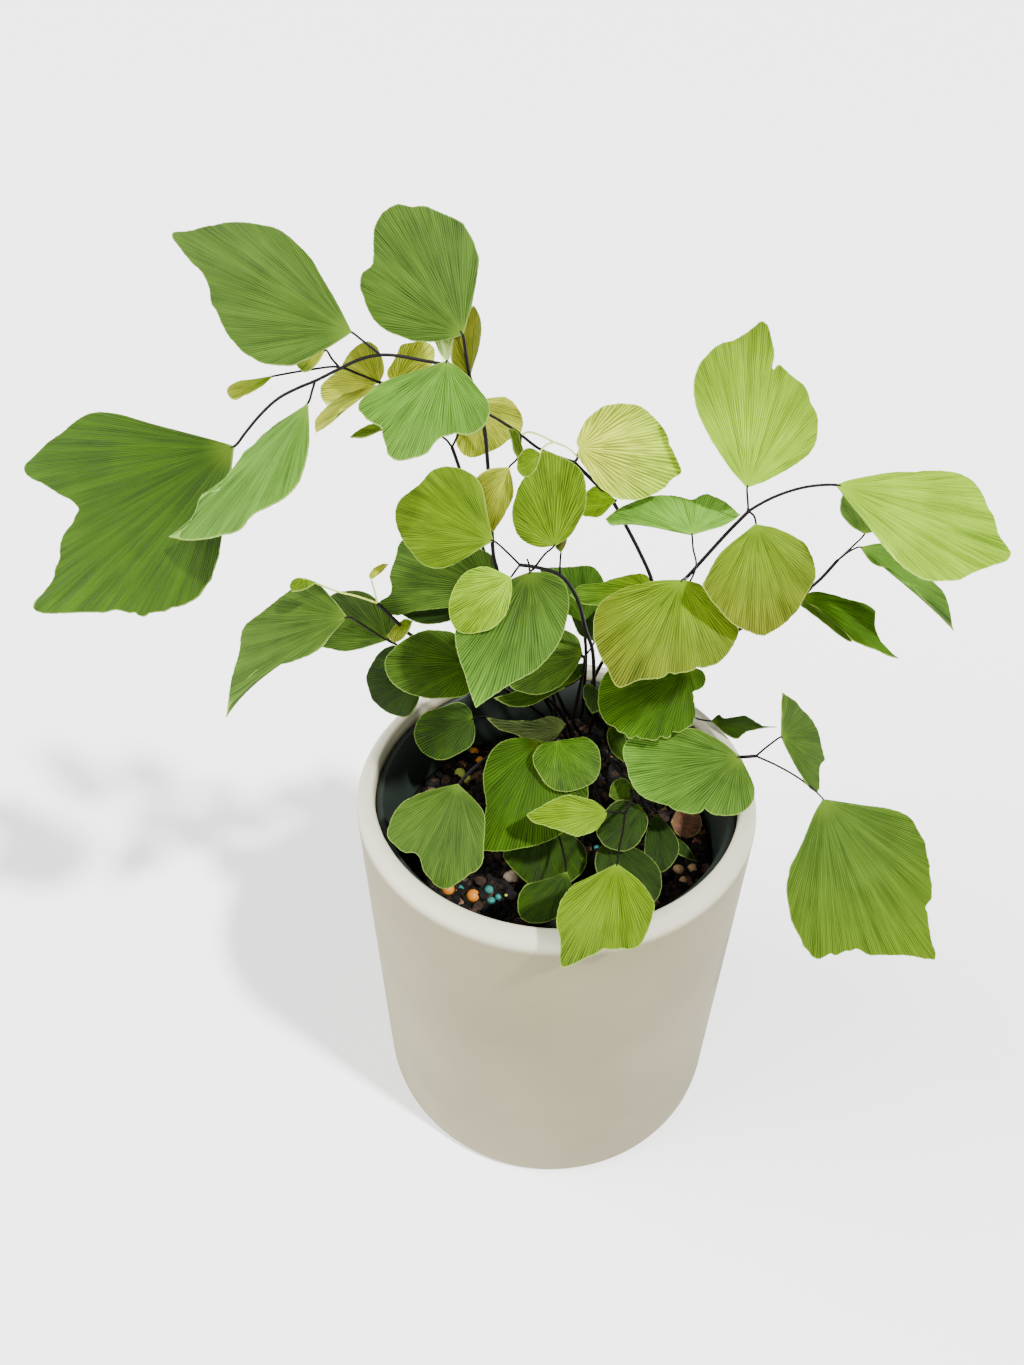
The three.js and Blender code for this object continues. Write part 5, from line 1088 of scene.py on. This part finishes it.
def smoothPath(points, perSpan):  # centripetal curve through the points, with its spans' shares
    p = np.vstack([2 * points[0] - points[1], points, 2 * points[-1] - points[-2]])
    out = []
    for i in range(1, len(p) - 2):
        a, b, c, d = p[i - 1:i + 3]
        t1 = max(np.linalg.norm(b - a), 1e-6) ** 0.5
        t2 = max(np.linalg.norm(c - b), 1e-6) ** 0.5
        t3 = max(np.linalg.norm(d - c), 1e-6) ** 0.5
        m1 = ((b - a) / t1 - (c - a) / (t1 + t2) + (c - b) / t2) * t2
        m2 = ((c - b) / t2 - (d - b) / (t2 + t3) + (d - c) / t3) * t2
        for s in np.linspace(0, 1, perSpan, endpoint=False):
            out.append(hermite(b, c, m1, m2, s))
    return np.array([*out, p[-2]])


def hermite(a, b, ta, tb, s):
    return ((2 * s ** 3 - 3 * s ** 2 + 1) * a + (s ** 3 - 2 * s ** 2 + s) * ta
        + (3 * s ** 2 - 2 * s ** 3) * b + (s ** 3 - s ** 2) * tb)


def smoothRim(leaf):  # the outline at even steps: points, share along the rim, share out from the base
    rim = np.array(leaf["rim"], float).reshape(-1, 2)
    knots = np.vstack([leaf["base"], rim, leaf["base"]])
    chords = np.diff(knots, axis=0)
    lengths = np.linalg.norm(chords, axis=1)
    ways = chords / lengths[:, None]
    turns = np.degrees(np.arccos(np.clip((ways[:-1] * ways[1:]).sum(1), -1, 1)))
    incoming, outgoing = [None], [ways[0]]
    for i, turn in enumerate(turns, start=1):
        if turn > blade["corner"]:
            incoming.append(ways[i - 1])
            outgoing.append(ways[i])
        else:
            way = unit(ways[i - 1] * lengths[i] + ways[i] * lengths[i - 1])
            incoming.append(way)
            outgoing.append(way)
    incoming.append(ways[-1])
    points, shares, outs = [], [], []
    gone = np.concatenate([[0, 0], np.cumsum(lengths[1:-1])]) / lengths[1:-1].sum()
    for i, length in enumerate(lengths):
        count = max(2, int(round(length / blade["spacing"])))
        for k in range(count):
            s = k / count
            if i == 0 and k == 0:
                continue
            points.append(hermite(knots[i], knots[i + 1], outgoing[i] * length, incoming[i + 1] * length, s))
            shares.append(gone[i] + (gone[i + 1] - gone[i]) * s if 0 < i < len(lengths) - 1 else gone[i])
            outs.append(s if i == 0 else 1 - s if i == len(lengths) - 1 else 1)
    return np.array(points), np.array(shares), np.array(outs)


def fanned(base, outline):  # turned about the base as little as will do, so that it never doubles back
    arms = outline - base
    reach = np.linalg.norm(arms, axis=1)
    angles = np.unwrap(np.arctan2(arms[:, 1], arms[:, 0]))
    sense = np.sign(angles[-1] - angles[0])
    step = blade["fanStep"] * np.arange(len(angles))
    groups = []
    for angle, weight in zip(sense * angles - step, reach ** 2):
        groups.append([angle, weight, 1])
        while len(groups) > 1 and groups[-2][0] > groups[-1][0]:
            angle, weight, count = groups.pop()
            kept = groups[-1]
            kept[0] = (kept[0] * kept[1] + angle * weight) / (kept[1] + weight)
            kept[1] += weight
            kept[2] += count
    turns = np.concatenate([[angle] * count for angle, weight, count in groups]) + step
    spread = np.stack([np.cos(sense * turns), np.sin(sense * turns)], axis=1) * reach[:, None]
    return base + spread, (turns - turns[0]) / (turns[-1] - turns[0]), reach / reach.max()


def smoothDraws(draw, shares, count):  # a soft random line along the rim
    return np.interp(shares * count, np.arange(count + 1), draw.uniform(-1, 1, count + 1))


def bladeFaces(columns, rings, flipped):  # the upper side's faces, and its border in order
    at = lambda column, ring: 0 if ring == 0 else 1 + (ring - 1) * columns + column
    upper = []
    for i in range(columns - 1):
        upper.append((at(i, 0), at(i, 1), at(i + 1, 1)))
        for ring in range(1, rings):
            upper.append((at(i, ring), at(i, ring + 1), at(i + 1, ring + 1), at(i + 1, ring)))
    edge = [0] + [at(0, k) for k in range(1, rings + 1)] + [at(i, rings) for i in range(1, columns)]
    edge += [at(columns - 1, k) for k in range(rings - 1, 0, -1)]
    if flipped:
        return [face[::-1] for face in upper], edge[::-1]
    return upper, edge


def leafletMesh(leaf, seed):
    draw = np.random.default_rng(seed)
    outline, shares, outs = smoothRim(leaf)
    columns = len(outline)
    base = np.array(leaf["base"], float)
    normal = faceNormal(*leaf["face"])
    root = placed(*base, leaf["depth"])
    tangent = unit(np.gradient(outline, axis=0))
    outward = np.stack([-tangent[:, 1], tangent[:, 0]], axis=1)
    teeth = leaf.get("teeth", blade["teeth"])
    bite = draw.uniform(-1, 1, columns) * teeth
    bite += smoothDraws(draw, shares, blade["raggedSteps"]) * blade["ragged"]
    fade = np.clip(shares * (1 - shares) * blade["toothFade"], 0, 1)
    outline = outline + outward * (bite * (outs >= 1) * fade)[:, None]
    span = np.linalg.norm(spotOn(normal, root, outline, 0) - root, axis=1).max()
    rings = max(blade["fewestRings"], int(round(span / blade["ring"])))
    inner, turned, far = fanned(base, outline)
    sway = smoothDraws(draw, turned, blade["flutterSteps"])
    hump = blade["hump"] * span
    side = (2 * turned - 1) ** 2
    layers, reaches = [root[None]], [np.zeros(1)]
    for ring in range(1, rings + 1):
        reach = ring / rings
        flat = base + (inner - base) * reach + (outline - inner) * reach ** blade["rimEase"]
        out = far * reach
        sag = blade["middleDroop"] + (1 - blade["middleDroop"]) * side
        fall = leaf.get("droop", blade["droop"]) * out ** 2 * sag
        wave = leaf.get("wave", blade["wave"]) * out * np.sin(turned * blade["waves"] * 2 * math.pi)
        rise = hump * 4 * out * (1 - out) * (1 - blade["humpSide"] * side)
        off = wave - fall + rise + blade["flutter"] * sway * out ** 2
        layers.append(spotOn(normal, root, flat, off))
        reaches.append(out)
    surface = np.vstack(layers)
    reach = np.concatenate(reaches)
    share = np.concatenate([[0.5], np.tile(turned, rings)])
    rimLine = layers[-1]
    border = np.vstack([rimLine, root[None]])
    width = np.linalg.norm(np.diff(rimLine, axis=0), axis=1).sum()
    gaps = np.sqrt(((surface[:, None] - border[None]) ** 2).sum(2)).min(1)
    spread = np.cross(rimLine[:-1] - root, rimLine[1:] - root).sum(0) @ normal
    upper, edge = bladeFaces(columns, rings, spread < 0)
    count = len(surface)
    faces = upper + [tuple(v + count for v in face[::-1]) for face in upper]
    for k, a in enumerate(edge):
        b = edge[(k + 1) % len(edge)]
        faces.append((b, a, a + count, b + count))
    points = np.vstack([surface + normal * blade["half"], surface - normal * blade["half"]])
    tone, tip = toneOf(leaf["tone"]), toneOf(leaf.get("tip", leaf["tone"]))
    mixed = tone + (tip - tone) * (reach ** blade["tipEase"])[:, None]
    under = mixed * (1 - blade["underShare"]) + np.array(tint(blade["under"])) * blade["underShare"]
    fan = np.stack([share * width + seed * blade["seedShift"], reach, gaps], axis=1)
    isEdge = np.zeros(count * 2, bool)
    isEdge[edge] = True
    isEdge[np.array(edge) + count] = True
    return dict(points=points * mm, faces=faces, tone=np.vstack([mixed, under]), fan=np.vstack([fan, fan]),
        rim=isEdge, layer=np.repeat([0, 1], count))


def toneOf(name):  # a leaf tone as linear values
    hue, depth = leafTones[name]
    return np.array(tint(leafHues[hue])) * depth


def spotOn(normal, root, flat, off):  # where the sight line through a frame point meets the blade
    ray = sightLines(flat[:, 0], flat[:, 1])
    along = (normal @ root + off - normal @ eye) / (ray @ normal)
    return eye + ray * along[:, None]


def leafBlade():
    g = Graph("leafBlade")
    where = g.place()
    across, reach, margin = g.parts(g.attribute("fan", out=1))
    drift = g.noise(where, blade["driftScale"], 2)
    fork = reach + drift * blade["forkDrift"]
    low, high = fork.ramp(*blade["firstFork"]), fork.ramp(*blade["secondFork"])
    turn = (across + drift * blade["veinDrift"]) * (2 * math.pi / blade["veinGap"])
    forked = lambda coarse, half, fine: coarse * (1 - low) + half * low * (1 - high) + fine * high
    sines = forked((turn * 0.25).sine(), (turn * 0.5).sine(), turn.sine())
    veins = (sines * 0.5 + 0.5) ** 2
    brushed = lambda pitch, long: g.noise(
        g.node("ShaderNodeCombineXYZ", None, {0: across * pitch, 1: reach * long}), 1.0, 2, 0.6)
    streak = forked(*[brushed(*pitch) for pitch in blade["streakPitches"]])
    sector = brushed(*blade["sectorPitch"]).ramp(*blade["sectorSpan"])
    blotch = g.noise(where, blade["blotchScale"], 3).ramp(*blade["blotchSpan"])
    streak = streak.ramp(*blade["streakSpan"])
    tone = g.attribute("tone")
    scaled = lambda by: g.node("ShaderNodeVectorMath", {"operation": "MULTIPLY"}, {0: tone, 1: by})
    dark, light = scaled(blade["dark"]), scaled(blade["light"])
    # painted shade and light: broad bands across the blade darken and lighten the colour as folds would under
    # light; the same bands also raise the bump
    lift = sector * blade["foldShadeShare"] + streak * blade["streakShare"]
    lift = lift + veins * (blade["veinShare"] - reach * blade["veinFade"]) + blotch * blade["blotchShare"]
    colour = g.blend(lift, dark, light)
    heart = (1 - reach.ramp(0, blade["heartReach"])) * blade["heartShare"]
    colour = g.blend(heart, colour, g.blend(blade["heartTint"], light, tint(blade["heart"])))
    inside, outside = [blade["margin"] * share for share in blade["marginEdges"]]
    rimward = (1 - margin.ramp(inside, outside)) * blade["marginShare"]
    colour = g.blend(rimward, colour, g.blend(blade["marginTint"], tint(blade["edge"]), light))
    height = streak * blade["streakDepth"] + sector * blade["sectorDepth"] - veins
    return g.finish(Base_Color=colour, Roughness=blade["rough"] + blade["roughDrift"] * streak,
        Normal=g.bump(height, *blade["bump"]), Specular_IOR_Level=blade["gloss"])


def wiryStem():
    g = Graph("wiryStem")
    where = g.place()
    grain = g.noise(where, stalk["grainScale"], 2)
    barky = grain.ramp(*stalk["grainSpan"]) * stalk["grainShare"]
    colour = g.blend(barky, g.attribute("tone"), tint(stalk["bark"]))
    return g.finish(Base_Color=colour, Roughness=stalk["rough"] + grain * stalk["roughDrift"],
        Normal=g.bump(grain, *stalk["bump"]), Specular_IOR_Level=stalk["gloss"])


def stemTree():  # round stems along the drawn lines, as thick as each point says
    g = Group("wiryStems", dict(Sides="Int", Material="Material"))
    given = g.given
    line = g.node("GeometryNodeMeshToCurve", None, {"Mesh": given("Geometry")})
    ring = g.node("GeometryNodeCurvePrimitiveCircle", {"mode": "RADIUS"},
        {"Resolution": given("Sides"), "Radius": 1.0})
    thick = g.node("GeometryNodeInputNamedAttribute", {"data_type": "FLOAT"}, {"Name": "thick"})
    tube = g.node("GeometryNodeCurveToMesh", None,
        {"Curve": line, "Profile Curve": ring, "Scale": thick, "Fill Caps": True})
    real = g.node("GeometryNodeRealizeInstances", None, {"Geometry": tube})
    soft = g.node("GeometryNodeSetShadeSmooth", None, {"Geometry": real})
    coated = g.node("GeometryNodeSetMaterial", None, {"Geometry": soft, "Material": given("Material")})
    return g.finish(coated)


def seatOf(leaf):  # the stalk's end, a little way inside the blade
    rim = np.array(leaf["rim"], float).reshape(-1, 2)
    middle = rim[len(rim) // 2]
    flat = np.array(leaf["base"], float) + (middle - leaf["base"]) * blade["seat"]
    normal = faceNormal(*leaf["face"])
    root = placed(*leaf["base"], leaf["depth"])
    return spotOn(normal, root, flat[None], 0)[0]


def stemLines(frond):  # each stem as points, thickness and colour
    foot = np.array((*frond["foot"], float(soilHeight(*frond["foot"]))))
    triples = lambda flat: placed(*np.array(flat, float).reshape(-1, 3).T)
    start = [foot - (0, 0, stalk["rootDepth"]), foot + (0, 0, stalk["footRise"])]
    paths = {"stipe": ("stipe", [*start, *triples(frond["stipe"])])}
    for key, (kind, flat) in frond["stems"].items():
        paths[key] = (kind, list(triples(flat)))
    for key, leaf in frond["leaflets"].items():
        if "seat" in leaf:
            ends = [placed(*leaf["seat"]), placed(*leaf["base"], leaf["depth"]), seatOf(leaf)]
            paths[key + "Stalk"] = ("fine", ends)
        else:
            paths[leaf["on"]][1].append(seatOf(leaf))
    lines = []
    for key, (kind, points) in paths.items():
        curve = smoothPath(np.array(points), stalk["perSpan"])
        along = np.linspace(0, 1, len(curve))
        first, last = stalk[kind]
        thick = first + (last - first) * along
        dark = np.array(tint(stalk["light"] if kind == "pale" else stalk["dark"]))
        brown = np.array(tint(stalk["foot"]))
        low = (np.clip(1 - along * stalk["footFade"], 0, 1) * (key == "stipe"))[:, None]
        lines.append((curve, thick, dark + (brown - dark) * low))
    return lines


def stemPiece(name, frond, tree, material):
    points, edges, thick, tones = [], [], [], []
    for curve, sizes, tone in stemLines(frond):
        start = len(points)
        points += [tuple(p * mm) for p in curve]
        edges += [(start + i, start + i + 1) for i in range(len(curve) - 1)]
        thick += list(sizes * mm)
        tones += [(*t, 1) for t in tone]
    mesh = bpy.data.meshes.new(name + "Stems")
    mesh.from_pydata(points, edges, [])
    store(mesh, "thick", "FLOAT", thick)
    store(mesh, "tone", "FLOAT_COLOR", tones)
    piece = addObject(name + "Stems", mesh)
    cover = piece.modifiers.new("stems", "NODES")
    cover.node_group = tree
    setInputs(cover, {"Sides": stalk["sides"], "Material": material})
    bakePiece(piece)
    return piece


def bladePiece(name, leaflets, material, seed):
    blades = [leafletMesh(leaf, seed + k) for k, leaf in enumerate(leaflets)]
    faces, start = [], 0
    for made in blades:
        faces += [tuple(v + start for v in face) for face in made["faces"]]
        start += len(made["points"])
    whole = {key: np.concatenate([made[key] for made in blades]) for key in blades[0] if key != "faces"}
    piece = newPiece(name, whole["points"], faces, [material])
    mesh = piece.data
    store(mesh, "tone", "FLOAT_COLOR", np.hstack([whole["tone"], np.ones((start, 1))]))
    store(mesh, "fan", "FLOAT_VECTOR", whole["fan"])
    ends = np.zeros(len(mesh.edges) * 2, dtype=np.int32)
    mesh.edges.foreach_get("vertices", ends)
    ends = ends.reshape(-1, 2)
    rim, layer = whole["rim"], whole["layer"]
    sharp = rim[ends].all(1) & (layer[ends[:, 0]] == layer[ends[:, 1]])
    mesh.attributes.new("sharp_edge", "BOOLEAN", "EDGE").data.foreach_set("value", sharp)
    return piece


def joined(first, *others):
    bpy.ops.object.select_all(action="DESELECT")
    for piece in (first, *others):
        piece.select_set(True)
    bpy.context.view_layer.objects.active = first
    bpy.ops.object.join()
    return first


def growFronds():
    green, stem, tree = leafBlade(), wiryStem(), stemTree()
    for k, (name, frond) in enumerate(fronds.items()):
        leaves = bladePiece(name + "Blades", list(frond["leaflets"].values()), green,
            blade["seedStep"] * k)
        piece = joined(leaves, stemPiece(name, frond, tree, stem))
        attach(piece, "root")
        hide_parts(name)
    dry = bladePiece("shedLeaflet", [shedLeaflet], green, shedLeaflet["seed"])
    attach(dry, "root")
    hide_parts("dry_leaflet")


growFronds()
print("fronds grown")
